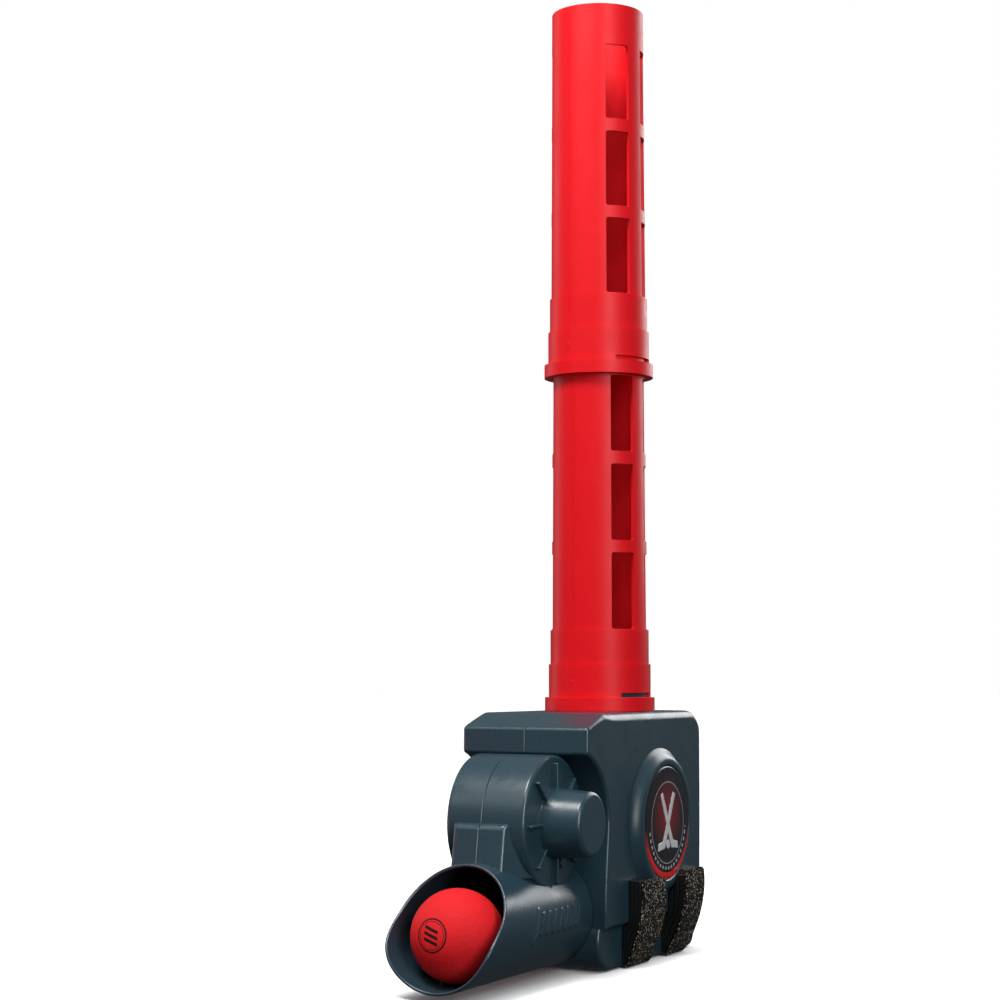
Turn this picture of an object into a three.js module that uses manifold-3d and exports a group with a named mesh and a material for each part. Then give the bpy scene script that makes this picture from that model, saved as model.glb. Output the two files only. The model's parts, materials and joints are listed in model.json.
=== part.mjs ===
// Battery powered ball passer for mini hockey: a moulded housing with a low nozzle, one throwing wheel
// in a drum behind the nozzle, and two stacked ball tubes on top. Millimetres, +Z up, front at -Y,
// origin on the floor under the middle of the object.
import * as THREE from 'three';
import { mergeVertices } from 'three/addons/utils/BufferGeometryUtils.js';
import Module from 'manifold-3d';

// ---------- driving dimensions ----------
const WALL = 2.2;                 // moulded wall of the housing
const GAP = 0.3;                  // clearance between pieces that lie against each other
const FAR = 200;                  // reach of a cutting block

const TUBE_Y = 81.5;              // ball tube axis
const TUBE_PITCH = 230;           // one tube section to the next
const TUBE_LENGTH = 257.3;
const TUBE_BASE_Z = 166;          // underside of the lower tube's flange
const TUBE_SOCKET_R = 32.4;
const TUBE_SOCKET_DEPTH = 27.6;
const TUBE_BORE_R = 30.4;
const FLANGE_R = 37.8;
const FLANGE_H = 8.9;
const COLLAR_R = 35.1;
const COLLAR_TOP = 31.6;
const SOCKET_ZONE_R = 33.9;
const SOCKET_ZONE_TOP = 55;
const WINDOW_ANGLES = [62.05, 117.95, -62.05, -117.95];   // from the seam, degrees
const WINDOW_BASES = [55.5, 116, 176.8];
const WINDOW_HEIGHT = 52;
const WINDOW_WIDTH = 17.9;
const SLIT_LOW = 9.2;
const SLIT_HIGH = 12.4;
const SLIT_HALF_ANGLE = 34;
const TUBE_TWISTS = [-7, -12];    // lower and upper section, degrees about +Z

const BODY_HALF = 45;             // half width of the side panels
const SKIRT_HALF = 40;            // half width below the ledge
const BODY_FRONT = -5.6;          // front face at the ledge
const FRONT_EDGE = [[-2.4, 86], [-4.3, 73], [-6, 60], [-6.2, 48]];   // y, z down the front face
const BODY_BACK = 153.5;
const BODY_BACK_LOW = 152;        // the rear face leans forward a little towards the floor
const BODY_TOP_FRONT = 166.2;
const BODY_TOP_BACK = 165;
const BODY_BOTTOM = 1;
const TOP_CORNER_R = 15;
const LOW_CORNER_R = 9;
const LEDGE_Z = 28.7;
const SKIRT_LAP = 8;              // how far the skirt's form reaches up inside the panel's
const TOE_R = 18.5;               // the skirt's round toe
const TOE_Y = 10.4;
const EDGE_R = 3;                 // rounding between the side and the other faces
const VISOR_TOP_Y = -7.5;
const VISOR_TIP = [-34, 157.6];
const VISOR_LIP_Y = -34.3;
const NECK_HOLE_R = 32.4;
const PARTING = 0.15;             // half the gap between the left and right mouldings

const DRUM_Y = -51;               // throwing wheel axis
const DRUM_Z = 98.9;
const DRUM_R = 42.3;
const DRUM_RIGHT = 29.4;          // the drum's two faces
const DRUM_LEFT = -25.2;
const RECESS_Y = -48.5;           // centre of the housing's round recess behind the drum
const RECESS_Z = 96.4;
const RECESS_R = 46.7;
const POD_END_X = 56.5;
const POD_R = 20.3;
const HEAD_WALL = 2;
const BLOCK_HALF = 16.8;          // half width of the front of the block ahead of the drum
const HEAD_SCREW_Y = -94.8;
const HEAD_SCREW_Z = 85.5;

const NOZZLE_MOUTH_Y = -153.5;
const NOZZLE_MOUTH_R = 37.5;
const NOZZLE_REAR_Y = -4;
const NOZZLE_REAR_R = 35;
const NOZZLE_BOTTOM = 3.8;
const NOZZLE_REAR_Z = NOZZLE_BOTTOM + NOZZLE_REAR_R;
const SPIGOT_Z = 37;              // nozzle spigot inside the body
const SPIGOT_R = 31.5;
const SPIGOT_BORE_R = 29.8;
const SPIGOT_END_Y = 6;
const MOUTH_EDGE = [                // y, z of the mouth's slanted edge
  [-153.5, 18], [-152.3, 25], [-149.6, 31], [-145, 37], [-138, 43], [-130.7, 50],
  [-127, 55], [-123, 60], [-118.5, 66], [-114.5, 72], [-111.3, 77], [-107.5, 84],
];

const BALL_R = 28.6;
const BALL_Y = -123.9;
const BALL_Z = 35.5;

const BADGE_Y = 79.5;
const BADGE_Z = 91.2;
const BADGE_R = 37.8;
const BADGE_FACE_X = 51;

const WHEEL_R = 38;
const WHEEL_HALF = 17;
const WHEEL_HUB_R = 20;
const AXLE_R = 2;

const ROTOR_Y = 34;
const ROTOR_Z = 100;
const ROTOR_R = 24;
const MOTOR_Y = -4;               // feed motor axis, above the drum
const MOTOR_Z = 146;
const GEAR_X = 34.2;
const GEAR_WIDTH = 4;
const GEAR_MODULE = 1.5;
const PINION_TEETH = 8;
const IDLER_TEETH = 22;
const FEED_TEETH = 28;

const CELL_R = 12.9;
const CELL_LENGTH = 50;
const CELL_Y = 132.3;
const CELL_PITCH = 27.2;
const CELL_FIRST_Z = 46;
const DOOR_HIGH = 150;
const DOOR_HALF = 32.6;
const DOOR_PIN_Y = 150.9;
const DOOR_PIN_Z = 22.6;
const DOOR_BARREL_R = 2.4;

const SWITCH_Y = 18;               // power switch, in the left side panel
const SWITCH_Z = 137;

const SCREW_PLACES = [[106, 12], [126, 156], [37, 150], [9, 76]];   // y, z of the housing screws
const BOSS_R = 4;
const SCREW_SEAT_X = 36.4;        // depth of the screw heads' counterbores

// ---------- helpers ----------
const wasm = await Module();
wasm.setup();
const degrees = THREE.MathUtils.degToRad;

function signedVolume(position, index) {
  const a = new THREE.Vector3();
  const b = new THREE.Vector3();
  const c = new THREE.Vector3();
  let total = 0;
  for (let i = 0; i < index.length; i += 3) {
    a.fromBufferAttribute(position, index[i]);
    b.fromBufferAttribute(position, index[i + 1]);
    c.fromBufferAttribute(position, index[i + 2]);
    total += a.dot(b.cross(c)) / 6;
  }
  return total;
}

// Triangles that lost a side when their corners were merged are left out.
function withoutSlivers(index) {
  const kept = [];
  for (let i = 0; i < index.length; i += 3) {
    const [a, b, c] = [index[i], index[i + 1], index[i + 2]];
    if (a !== b && b !== c && c !== a) {
      kept.push(a, b, c);
    }
  }
  return Uint32Array.from(kept);
}

// A closed three.js geometry as a manifold solid, with its faces pointing out.
function solid(geometry) {
  const bare = geometry.index ? geometry.toNonIndexed() : geometry.clone();
  bare.deleteAttribute('normal');
  bare.deleteAttribute('uv');
  const merged = mergeVertices(bare, 1e-4);
  const triVerts = withoutSlivers(merged.index.array);
  if (signedVolume(merged.attributes.position, triVerts) < 0) {
    for (let i = 0; i < triVerts.length; i += 3) {
      const first = triVerts[i];
      triVerts[i] = triVerts[i + 1];
      triVerts[i + 1] = first;
    }
  }
  const vertProperties = Float32Array.from(merged.attributes.position.array);
  return new wasm.Manifold(new wasm.Mesh({ numProp: 3, vertProperties, triVerts }));
}

function box(x0, x1, y0, y1, z0, z1) {
  const geometry = new THREE.BoxGeometry(x1 - x0, y1 - y0, z1 - z0);
  geometry.translate((x0 + x1) / 2, (y0 + y1) / 2, (z0 + z1) / 2);
  return solid(geometry);
}

function rodX(x0, x1, y, z, radius, sides = 24) {
  const geometry = new THREE.CylinderGeometry(radius, radius, x1 - x0, sides);
  geometry.rotateZ(-Math.PI / 2);
  geometry.translate((x0 + x1) / 2, y, z);
  return solid(geometry);
}

function rodY(y0, y1, x, z, radius, sides = 24) {
  const geometry = new THREE.CylinderGeometry(radius, radius, y1 - y0, sides);
  geometry.translate(x, (y0 + y1) / 2, z);
  return solid(geometry);
}

// Revolved about +X through (y, z); the profile's points are [radius, x].
function turnedX(points, y, z, sides = 40) {
  const geometry = new THREE.LatheGeometry(points.map(([r, x]) => new THREE.Vector2(r, x)), sides);
  geometry.rotateZ(-Math.PI / 2);
  geometry.translate(0, y, z);
  return solid(geometry);
}

// Revolved about +Z through (x, y); the profile's points are [radius, z].
function turnedZ(points, x, y, sides = 40) {
  const geometry = new THREE.LatheGeometry(points.map(([r, z]) => new THREE.Vector2(r, z)), sides);
  geometry.rotateX(Math.PI / 2);
  geometry.translate(x, y, 0);
  return solid(geometry);
}

function shapeOf(points) {
  return new THREE.Shape(points.map(([u, v]) => new THREE.Vector2(u, v)));
}

// A (y, z) outline extruded along +X from x0 to x1.
function slabX(outline, x0, x1, bevel = 0, inset = 0) {
  const geometry = new THREE.ExtrudeGeometry(outline, {
    depth: x1 - x0 - 2 * bevel,
    bevelEnabled: bevel > 0,
    bevelThickness: bevel,
    bevelSize: bevel,
    bevelOffset: -bevel - inset,
    bevelSegments: 2,
    curveSegments: 7,
  });
  const yzx = new THREE.Matrix4().makeBasis(
    new THREE.Vector3(0, 1, 0),
    new THREE.Vector3(0, 0, 1),
    new THREE.Vector3(1, 0, 0),
  );
  geometry.applyMatrix4(yzx);
  geometry.translate(x0 + bevel, 0, 0);
  return geometry;
}

// An (x, z) outline extruded along +Y from y0 to y1.
function slabY(outline, y0, y1) {
  const geometry = new THREE.ExtrudeGeometry(outline, { depth: y1 - y0, bevelEnabled: false });
  geometry.rotateX(Math.PI / 2);
  geometry.translate(0, y1, 0);
  return solid(geometry);
}

function warp(geometry, move) {
  const place = geometry.attributes.position;
  const point = new THREE.Vector3();
  for (let i = 0; i < place.count; i += 1) {
    point.fromBufferAttribute(place, i);
    move(point);
    place.setXYZ(i, point.x, point.y, point.z);
  }
  return geometry;
}

function joined(solids) {
  return solids.reduce((whole, one) => whole.add(one));
}

const group = new THREE.Group();

function addPart(name, shape, material) {
  const mesh = shape.getMesh();
  const geometry = new THREE.BufferGeometry();
  geometry.setAttribute('position', new THREE.BufferAttribute(mesh.vertProperties, 3));
  geometry.setIndex(new THREE.BufferAttribute(mesh.triVerts, 1));
  geometry.computeVertexNormals();
  const part = new THREE.Mesh(geometry, material);
  part.name = name;
  group.add(part);
  return part;
}

function plastic(name, color, roughness) {
  return new THREE.MeshStandardMaterial({ name, color, roughness, metalness: 0 });
}

function metal(name, color, roughness) {
  return new THREE.MeshStandardMaterial({ name, color, roughness, metalness: 1 });
}

const slate = plastic('slate_plastic', 0x2b3a45, 0.45);
const red = plastic('red_plastic', 0xe01820, 0.35);
const black = plastic('black_plastic', 0x141414, 0.5);
const foamBlack = plastic('black_foam', 0x1a1a1a, 0.95);
const foamRed = plastic('red_foam', 0xe32626, 0.9);
const rubber = plastic('rubber', 0x222222, 0.8);
const whitePlastic = plastic('white_plastic', 0xe6e4dc, 0.5);
const board = plastic('board_green', 0x1f5a34, 0.5);
const cellWrap = plastic('cell_wrap', 0x2f4f7d, 0.35);
const steel = metal('steel', 0xb5b8ba, 0.3);

const RIGHT = box(PARTING, FAR, -FAR, FAR, -FAR, FAR * 2);
const LEFT = box(-FAR, -PARTING, -FAR, FAR, -FAR, FAR * 2);

// ---------- ball tubes ----------
function tubeSection() {
  const profile = [
    [TUBE_SOCKET_R, 0],
    [FLANGE_R - 0.6, 0],
    [FLANGE_R, 0.6],
    [FLANGE_R, FLANGE_H - 0.6],
    [FLANGE_R - 0.6, FLANGE_H],
    [COLLAR_R, FLANGE_H],
    [COLLAR_R, COLLAR_TOP],
    [SOCKET_ZONE_R, COLLAR_TOP],
    [SOCKET_ZONE_R, SOCKET_ZONE_TOP],
    [33, SOCKET_ZONE_TOP],
    [32, TUBE_LENGTH],
    [30, TUBE_LENGTH],
    [TUBE_BORE_R, TUBE_SOCKET_DEPTH + 1],
    [TUBE_SOCKET_R, TUBE_SOCKET_DEPTH],
    [TUBE_SOCKET_R, 0],
  ];
  let tube = turnedZ(profile, 0, 0, 36);
  for (const angle of WINDOW_ANGLES) {
    for (const base of WINDOW_BASES) {
      const window = new THREE.BoxGeometry(WINDOW_WIDTH, 20, WINDOW_HEIGHT);
      window.translate(0, -SOCKET_ZONE_R, base + WINDOW_HEIGHT / 2);
      window.rotateZ(degrees(angle));
      tube = tube.subtract(solid(window));
    }
  }
  for (const side of [-1, 1]) {
    const start = side > 0 ? -SLIT_HALF_ANGLE : 180 - SLIT_HALF_ANGLE;
    const slit = new THREE.Shape();
    slit.absarc(0, 0, FLANGE_R + 2, degrees(start), degrees(start + 2 * SLIT_HALF_ANGLE), false);
    slit.absarc(0, 0, TUBE_BORE_R, degrees(start + 2 * SLIT_HALF_ANGLE), degrees(start), true);
    const cutter = new THREE.ExtrudeGeometry(slit, {
      depth: SLIT_HIGH - SLIT_LOW,
      bevelEnabled: false,
      curveSegments: 6,
    });
    cutter.translate(0, 0, SLIT_LOW);
    tube = tube.subtract(solid(cutter));
  }
  return tube;
}

function addTubes() {
  const section = tubeSection();
  ['tube_lower', 'tube_upper'].forEach((name, level) => {
    const tube = addPart(name, section, red);
    tube.position.set(0, TUBE_Y, TUBE_BASE_Z + level * TUBE_PITCH);
    tube.rotation.z = degrees(TUBE_TWISTS[level]);
  });
}

function addNeckRing() {
  const top = TUBE_BASE_Z + TUBE_SOCKET_DEPTH - 0.6;
  const profile = [[30.2, 157.5], [37, 157.5], [37, 160], [32, 160.6], [32, top], [30.2, top], [30.2, 157.5]];
  addPart('neck_ring', turnedZ(profile, 0, TUBE_Y), slate);
}

// ---------- housing ----------
function panelOutline() {
  const shape = new THREE.Shape();
  const lipAngle = Math.acos((VISOR_LIP_Y - RECESS_Y) / RECESS_R);
  const cornerY = BODY_BACK - TOP_CORNER_R;
  const cornerZ = BODY_TOP_BACK - TOP_CORNER_R;
  shape.moveTo(BODY_FRONT, LEDGE_Z);
  shape.lineTo(BODY_BACK_LOW, LEDGE_Z);
  shape.lineTo(BODY_BACK, cornerZ);
  shape.absarc(cornerY, cornerZ, TOP_CORNER_R, 0, Math.PI / 2, false);
  shape.lineTo(VISOR_TOP_Y, BODY_TOP_FRONT);
  shape.lineTo(...VISOR_TIP);
  shape.absarc(RECESS_Y, RECESS_Z, RECESS_R, lipAngle, 0, true);
  FRONT_EDGE.forEach(([y, z]) => shape.lineTo(y, z));
  return shape;
}

function skirtOutline() {
  const shape = new THREE.Shape();
  const toeZ = BODY_BOTTOM + TOE_R;
  const toeStart = Math.PI - Math.asin((LEDGE_Z - toeZ) / TOE_R);
  const heelY = BODY_BACK_LOW - LOW_CORNER_R;
  const heelZ = BODY_BOTTOM + LOW_CORNER_R;
  shape.moveTo(BODY_FRONT, LEDGE_Z + SKIRT_LAP);
  shape.lineTo(BODY_FRONT, LEDGE_Z);
  shape.absarc(TOE_Y, toeZ, TOE_R, toeStart, Math.PI * 1.5, false);
  shape.lineTo(heelY, BODY_BOTTOM);
  shape.absarc(heelY, heelZ, LOW_CORNER_R, Math.PI * 1.5, Math.PI * 2, false);
  shape.lineTo(BODY_BACK_LOW, LEDGE_Z + SKIRT_LAP);
  return shape;
}

// The housing's outer form on one side of the parting plane, or the hollow inside it.
function housingForm(side, inset) {
  const bevel = inset > 0 ? 1 : EDGE_R;
  const forms = [
    [panelOutline(), BODY_HALF],
    [skirtOutline(), SKIRT_HALF],
  ].map(([outline, half]) => {
    const reach = half - inset;
    const geometry = slabX(outline, -10, reach, bevel, inset);
    const placed = side > 0 ? geometry : geometry.scale(-1, 1, 1);
    return solid(placed);
  });
  return joined(forms);
}

function badgeRing(side) {
  const profile = [
    [0, 44],
    [48.6, 44],
    [48.2, 45.6],
    [45.9, 48.2],
    [41.8, 51],
    [38.8, 51.2],
    [BADGE_R + 0.5, BADGE_FACE_X - 0.6],
    [BADGE_R + 0.5, 48.4],
    [0, 48.4],
  ].map(([r, x]) => [r, side * x]);
  return turnedX(profile, BADGE_Y, BADGE_Z, 36);
}

function ringClearance(side) {
  const profile = [[0, 44], [49.2, 44], [49, 45.8], [46.5, 48.8], [42.2, 51.7], [0, 51.9]]
    .map(([r, x]) => [r, side * x]);
  const sides = side > 0 ? [40, FAR] : [-FAR, -40];
  return turnedX(profile, BADGE_Y, BADGE_Z, 36).add(rodX(...sides, BADGE_Y, BADGE_Z, BADGE_R + 1, 36));
}

function doorPinBlock(side) {
  return side > 0 ? box(33.2, 38, 147.6, 152, 19, 26.5) : box(-38, -33.2, 147.6, 152, 19, 26.5);
}

// The ring inside the front wall that the nozzle's rear end lies against.
function nozzleSeat() {
  return rodY(-9, -1.2, 0, NOZZLE_REAR_Z, NOZZLE_REAR_R + 2.6, 40);
}

function housingCuts() {
  return joined([
    turnedZ([[0, 150], [NECK_HOLE_R, 150], [NECK_HOLE_R, 180], [0, 180]], 0, TUBE_Y),
    rodY(-30, 20, 0, SPIGOT_Z, SPIGOT_R + 0.4, 40),
    rodY(-30, NOZZLE_REAR_Y + GAP, 0, NOZZLE_REAR_Z, NOZZLE_REAR_R + 0.4, 40),
    box(-DOOR_HALF - 0.4, DOOR_HALF + 0.4, 148.5, 170, DOOR_PIN_Z - 2.8, DOOR_HIGH + 0.4),
    box(-50, -40, SWITCH_Y - 9, SWITCH_Y + 9, SWITCH_Z - 5, SWITCH_Z + 5),
  ]);
}

function addHousing() {
  for (const [name, side, keep] of [['body_shell_right', 1, RIGHT], ['body_shell_left', -1, LEFT]]) {
    const outer = housingForm(side, 0);
    let shell = outer.subtract(housingForm(side, WALL)).add(badgeRing(side));
    shell = shell.subtract(rodX(...(side > 0 ? [40, 46.2] : [-46.2, -40]), BADGE_Y, BADGE_Z, 36));
    for (const [y, z] of SCREW_PLACES) {
      const reach = (z < LEDGE_Z ? SKIRT_HALF : BODY_HALF) - 1.5;
      shell = shell.add(rodX(...(side > 0 ? [0, reach] : [-reach, 0]), y, z, BOSS_R, 10));
    }
    shell = shell.add(doorPinBlock(side).intersect(outer)).add(nozzleSeat().intersect(outer));
    for (const [y, z] of SCREW_PLACES) {
      shell = shell.subtract(rodX(-SCREW_SEAT_X, 12, y, z, 1.8, 8));
      shell = shell.subtract(rodX(-60, -SCREW_SEAT_X, y, z, 3, 10));
    }
    shell = shell.subtract(housingCuts()).intersect(keep);
    shell = shell.subtract(rodX(-37, 37, DOOR_PIN_Y, DOOR_PIN_Z, 1.3, 12));
    addPart(name, shell, slate);
  }
}

// ---------- drum and nozzle head ----------
function nozzleRadius(y) {
  const along = (y - NOZZLE_REAR_Y) / (NOZZLE_MOUTH_Y - NOZZLE_REAR_Y);
  return NOZZLE_REAR_R + (NOZZLE_MOUTH_R - NOZZLE_REAR_R) * along;
}

// The nozzle's flared tube, with its lowest line level; inset makes its bore.
function nozzleForm(inset) {
  const front = NOZZLE_MOUTH_Y - (inset > 0 ? 5 : 0);
  const rear = NOZZLE_REAR_Y;
  const length = rear - front;
  const geometry = new THREE.CylinderGeometry(
    nozzleRadius(rear) - inset,
    nozzleRadius(front) - inset,
    length,
    40,
  );
  geometry.translate(0, (front + rear) / 2, 0);
  warp(geometry, (p) => {
    p.z += NOZZLE_BOTTOM + nozzleRadius(p.y);
  });
  return solid(geometry);
}

function mouthCutter() {
  const ahead = NOZZLE_MOUTH_Y - 60;
  const outline = shapeOf([[ahead, -20], [NOZZLE_MOUTH_Y, -20], ...MOUTH_EDGE, [ahead, 84]]);
  return solid(slabX(outline, -60, 60));
}

function drumForm(inset) {
  const left = DRUM_LEFT + inset;
  const right = DRUM_RIGHT - inset;
  const r = DRUM_R - inset;
  const edge = 2.2;
  const profile = [
    [0, left],
    [r - edge, left],
    [r - 0.6, left + 0.6],
    [r, left + edge],
    [r, right - edge],
    [r - 0.6, right - 0.6],
    [r - edge, right],
    [0, right],
  ];
  return turnedX(profile, DRUM_Y, DRUM_Z, 40);
}

function drumRibs() {
  const ribs = [];
  for (let i = 0; i < 8; i += 1) {
    const rib = new THREE.BoxGeometry(4, 17, 2);
    rib.translate(DRUM_RIGHT + 1, 29, 0);
    rib.rotateX((i * Math.PI) / 4);
    rib.translate(0, DRUM_Y, DRUM_Z);
    ribs.push(solid(rib));
  }
  return joined(ribs);
}

// A small screw boss on the drum's right face, below the pod.
function faceBoss() {
  return rodX(DRUM_RIGHT - 1, DRUM_RIGHT + 2.6, DRUM_Y + 8, DRUM_Z - 25, 3.6, 16);
}

function motorPod() {
  const profile = [
    [0, DRUM_RIGHT - 1.5],
    [22, DRUM_RIGHT - 1.5],
    [POD_R, POD_END_X - 2.2],
    [POD_R - 0.8, POD_END_X - 0.7],
    [POD_R - 2.4, POD_END_X],
    [0, POD_END_X],
  ];
  return turnedX(profile, DRUM_Y, DRUM_Z, 32);
}

// The block's sides spread towards the drum.
function headBlock() {
  const edge = [
    [BLOCK_HALF, -101.6, 70],
    [BLOCK_HALF, -97.2, 95.9],
    [BLOCK_HALF, -96.7, 97.8],
    [BLOCK_HALF + 0.6, -95, 99.8],
    [BLOCK_HALF + 1.6, -92.4, 100.8],
    [BLOCK_HALF + 6, -86, 100.8],
    [BLOCK_HALF + 12, -85, 68],
  ];
  const points = edge.flatMap(([x, y, z]) => [[x, y, z], [-x, y, z]]);
  return wasm.Manifold.hull(points);
}

function ballRails() {
  return box(-10, -8, -128, -10, 5.6, 8).add(box(8, 10, -128, -10, 5.6, 8));
}

function addHead() {
  const spigot = rodY(NOZZLE_REAR_Y - 2, SPIGOT_END_Y, 0, SPIGOT_Z, SPIGOT_R, 40);
  const spigotBore = rodY(NOZZLE_REAR_Y - 3, SPIGOT_END_Y + 2, 0, SPIGOT_Z, SPIGOT_BORE_R, 40);
  const outer = joined([nozzleForm(0), drumForm(0), headBlock(), spigot]);
  const bushSeat = rodX(DRUM_LEFT + 1, -18.2, DRUM_Y, DRUM_Z, 8)
    .subtract(rodX(DRUM_LEFT, -15, DRUM_Y, DRUM_Z, 5.3));
  const endWall = rodY(NOZZLE_REAR_Y - 2, NOZZLE_REAR_Y, 0, NOZZLE_REAR_Z, NOZZLE_REAR_R, 40)
    .subtract(spigotBore);
  const hollow = nozzleForm(HEAD_WALL).add(drumForm(HEAD_WALL)).subtract(endWall).add(spigotBore);
  const screwHole = rodX(-13, 10, HEAD_SCREW_Y, HEAD_SCREW_Z, 1.6, 10)
    .add(rodX(-40, -13, HEAD_SCREW_Y, HEAD_SCREW_Z, 3, 12));
  const whole = outer
    .add(motorPod())
    .add(drumRibs())
    .add(faceBoss())
    .subtract(hollow)
    .subtract(rodX(20, POD_END_X - HEAD_WALL, DRUM_Y, DRUM_Z, POD_R - 3))
    .add(ballRails())
    .add(bushSeat)
    .subtract(mouthCutter())
    .subtract(screwHole);
  addPart('head_shell_right', whole.intersect(RIGHT), slate);
  addPart('head_shell_left', whole.intersect(LEFT), slate);
}

// ---------- throwing wheel ----------
function addThrowingWheel() {
  const hubProfile = [
    [AXLE_R + GAP, -15],
    [7, -15],
    [7, -5],
    [WHEEL_HUB_R - 3, -5],
    [WHEEL_HUB_R - 3, -WHEEL_HALF + 1],
    [WHEEL_HUB_R, -WHEEL_HALF + 1],
    [WHEEL_HUB_R, WHEEL_HALF - 1],
    [WHEEL_HUB_R - 3, WHEEL_HALF - 1],
    [WHEEL_HUB_R - 3, 5],
    [7, 5],
    [7, 15],
    [AXLE_R + GAP, 15],
    [AXLE_R + GAP, -15],
  ];
  const tyreProfile = [
    [WHEEL_HUB_R + GAP, -WHEEL_HALF],
    [WHEEL_R - 2, -WHEEL_HALF],
    [WHEEL_R, -WHEEL_HALF + 2],
    [WHEEL_R, WHEEL_HALF - 2],
    [WHEEL_R - 2, WHEEL_HALF],
    [WHEEL_HUB_R + GAP, WHEEL_HALF],
    [WHEEL_HUB_R + GAP, -WHEEL_HALF],
  ];
  addPart('throw_wheel_hub', turnedX(hubProfile, DRUM_Y, DRUM_Z, 24), whitePlastic);
  addPart('throw_wheel_tyre', turnedX(tyreProfile, DRUM_Y, DRUM_Z, 32), rubber);
  addPart('throw_wheel_axle', rodX(-21.3, 22.3, DRUM_Y, DRUM_Z, AXLE_R, 12), steel);
  const bush = [[2.3, -21.7], [5, -21.7], [5, -16.7], [2.3, -16.7], [2.3, -21.7]];
  addPart('axle_bush', turnedX(bush, DRUM_Y, DRUM_Z, 16), metal('bronze', 0x9a7a45, 0.4));
  const can = rodX(24, 52, DRUM_Y, DRUM_Z, 14).add(rodX(22.6, 24.5, DRUM_Y, DRUM_Z, 5, 16));
  addPart('throw_motor', can, steel);
}

// ---------- ball feed ----------
function gearOutline(teeth, phase) {
  const pitch = (Math.PI * 2) / teeth;
  const corners = [];
  for (let i = 0; i < teeth; i += 1) {
    const centre = phase + i * pitch;
    for (const [radius, share] of [[-1.15, -0.25], [0.85, -0.09], [0.85, 0.09], [-1.15, 0.25]]) {
      const angle = centre + share * pitch;
      const r = GEAR_MODULE * (teeth / 2 + radius);
      corners.push([r * Math.cos(angle), r * Math.sin(angle)]);
    }
  }
  return shapeOf(corners);
}

function gearSolid(teeth, phase, y, z, boreR) {
  const wheel = slabX(gearOutline(teeth, phase), GEAR_X, GEAR_X + GEAR_WIDTH);
  wheel.translate(0, y, z);
  const gear = solid(wheel);
  return boreR > 0 ? gear.subtract(rodX(GEAR_X - 5, GEAR_X + 10, y, z, boreR, 12)) : gear;
}

// Where the idler sits so that it meshes with the motor pinion and the feed gear.
function idlerPlace() {
  const motor = new THREE.Vector2(MOTOR_Y, MOTOR_Z);
  const rotor = new THREE.Vector2(ROTOR_Y, ROTOR_Z);
  const near = (GEAR_MODULE * (PINION_TEETH + IDLER_TEETH)) / 2;
  const far = (GEAR_MODULE * (IDLER_TEETH + FEED_TEETH)) / 2;
  const span = rotor.clone().sub(motor);
  const length = span.length();
  const turn = Math.acos((near ** 2 + length ** 2 - far ** 2) / (2 * near * length));
  const heading = span.angle() + turn;
  return motor.clone().add(new THREE.Vector2(Math.cos(heading), Math.sin(heading)).multiplyScalar(near));
}

function addFeed() {
  const idler = idlerPlace();
  const toMotor = new THREE.Vector2(MOTOR_Y, MOTOR_Z).sub(idler).angle();
  const toRotor = new THREE.Vector2(ROTOR_Y, ROTOR_Z).sub(idler).angle();
  const idlerPitch = (Math.PI * 2) / IDLER_TEETH;
  // The idler has a tooth on its line to the pinion, where the pinion has a gap.
  const pinionPhase = toMotor + Math.PI + Math.PI / PINION_TEETH;
  const pastTooth = ((toRotor - toMotor) / idlerPitch) % 1;
  const feedPhase = toRotor + Math.PI + (Math.PI * 2 / FEED_TEETH) * (pastTooth + 0.5);

  const hub = rodX(-25, 25, ROTOR_Y, ROTOR_Z, 7, 20);
  let rotor = hub;
  for (let i = 0; i < 3; i += 1) {
    const paddle = new THREE.BoxGeometry(48, ROTOR_R - 4, 4);
    paddle.translate(0, 4 + (ROTOR_R - 4) / 2, 0);
    paddle.rotateX(degrees(-35 + 120 * i));
    paddle.translate(0, ROTOR_Y, ROTOR_Z);
    rotor = rotor.add(solid(paddle));
  }
  rotor = rotor.subtract(rodX(-30, 30, ROTOR_Y, ROTOR_Z, AXLE_R + GAP, 12));
  addPart('feed_rotor', rotor, whitePlastic);
  addPart('feed_rotor_axle', rodX(-34, 39, ROTOR_Y, ROTOR_Z, AXLE_R, 12), steel);
  addPart('feed_gear', gearSolid(FEED_TEETH, feedPhase, ROTOR_Y, ROTOR_Z, AXLE_R + GAP), whitePlastic);
  addPart('idler_gear', gearSolid(IDLER_TEETH, toMotor, idler.x, idler.y, 1.9), whitePlastic);
  addPart('idler_pin', rodX(GEAR_X - 0.6, 42, idler.x, idler.y, 1.6, 12), steel);
  const stub = rodX(33.3, GEAR_X + 0.5, MOTOR_Y, MOTOR_Z, 1.5, 12);
  const pinion = gearSolid(PINION_TEETH, pinionPhase, MOTOR_Y, MOTOR_Z, 0).add(stub);
  addPart('feed_pinion', pinion, whitePlastic);
  addPart('feed_motor', rodX(5, 33, MOTOR_Y, MOTOR_Z, 10), steel);
}

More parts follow.
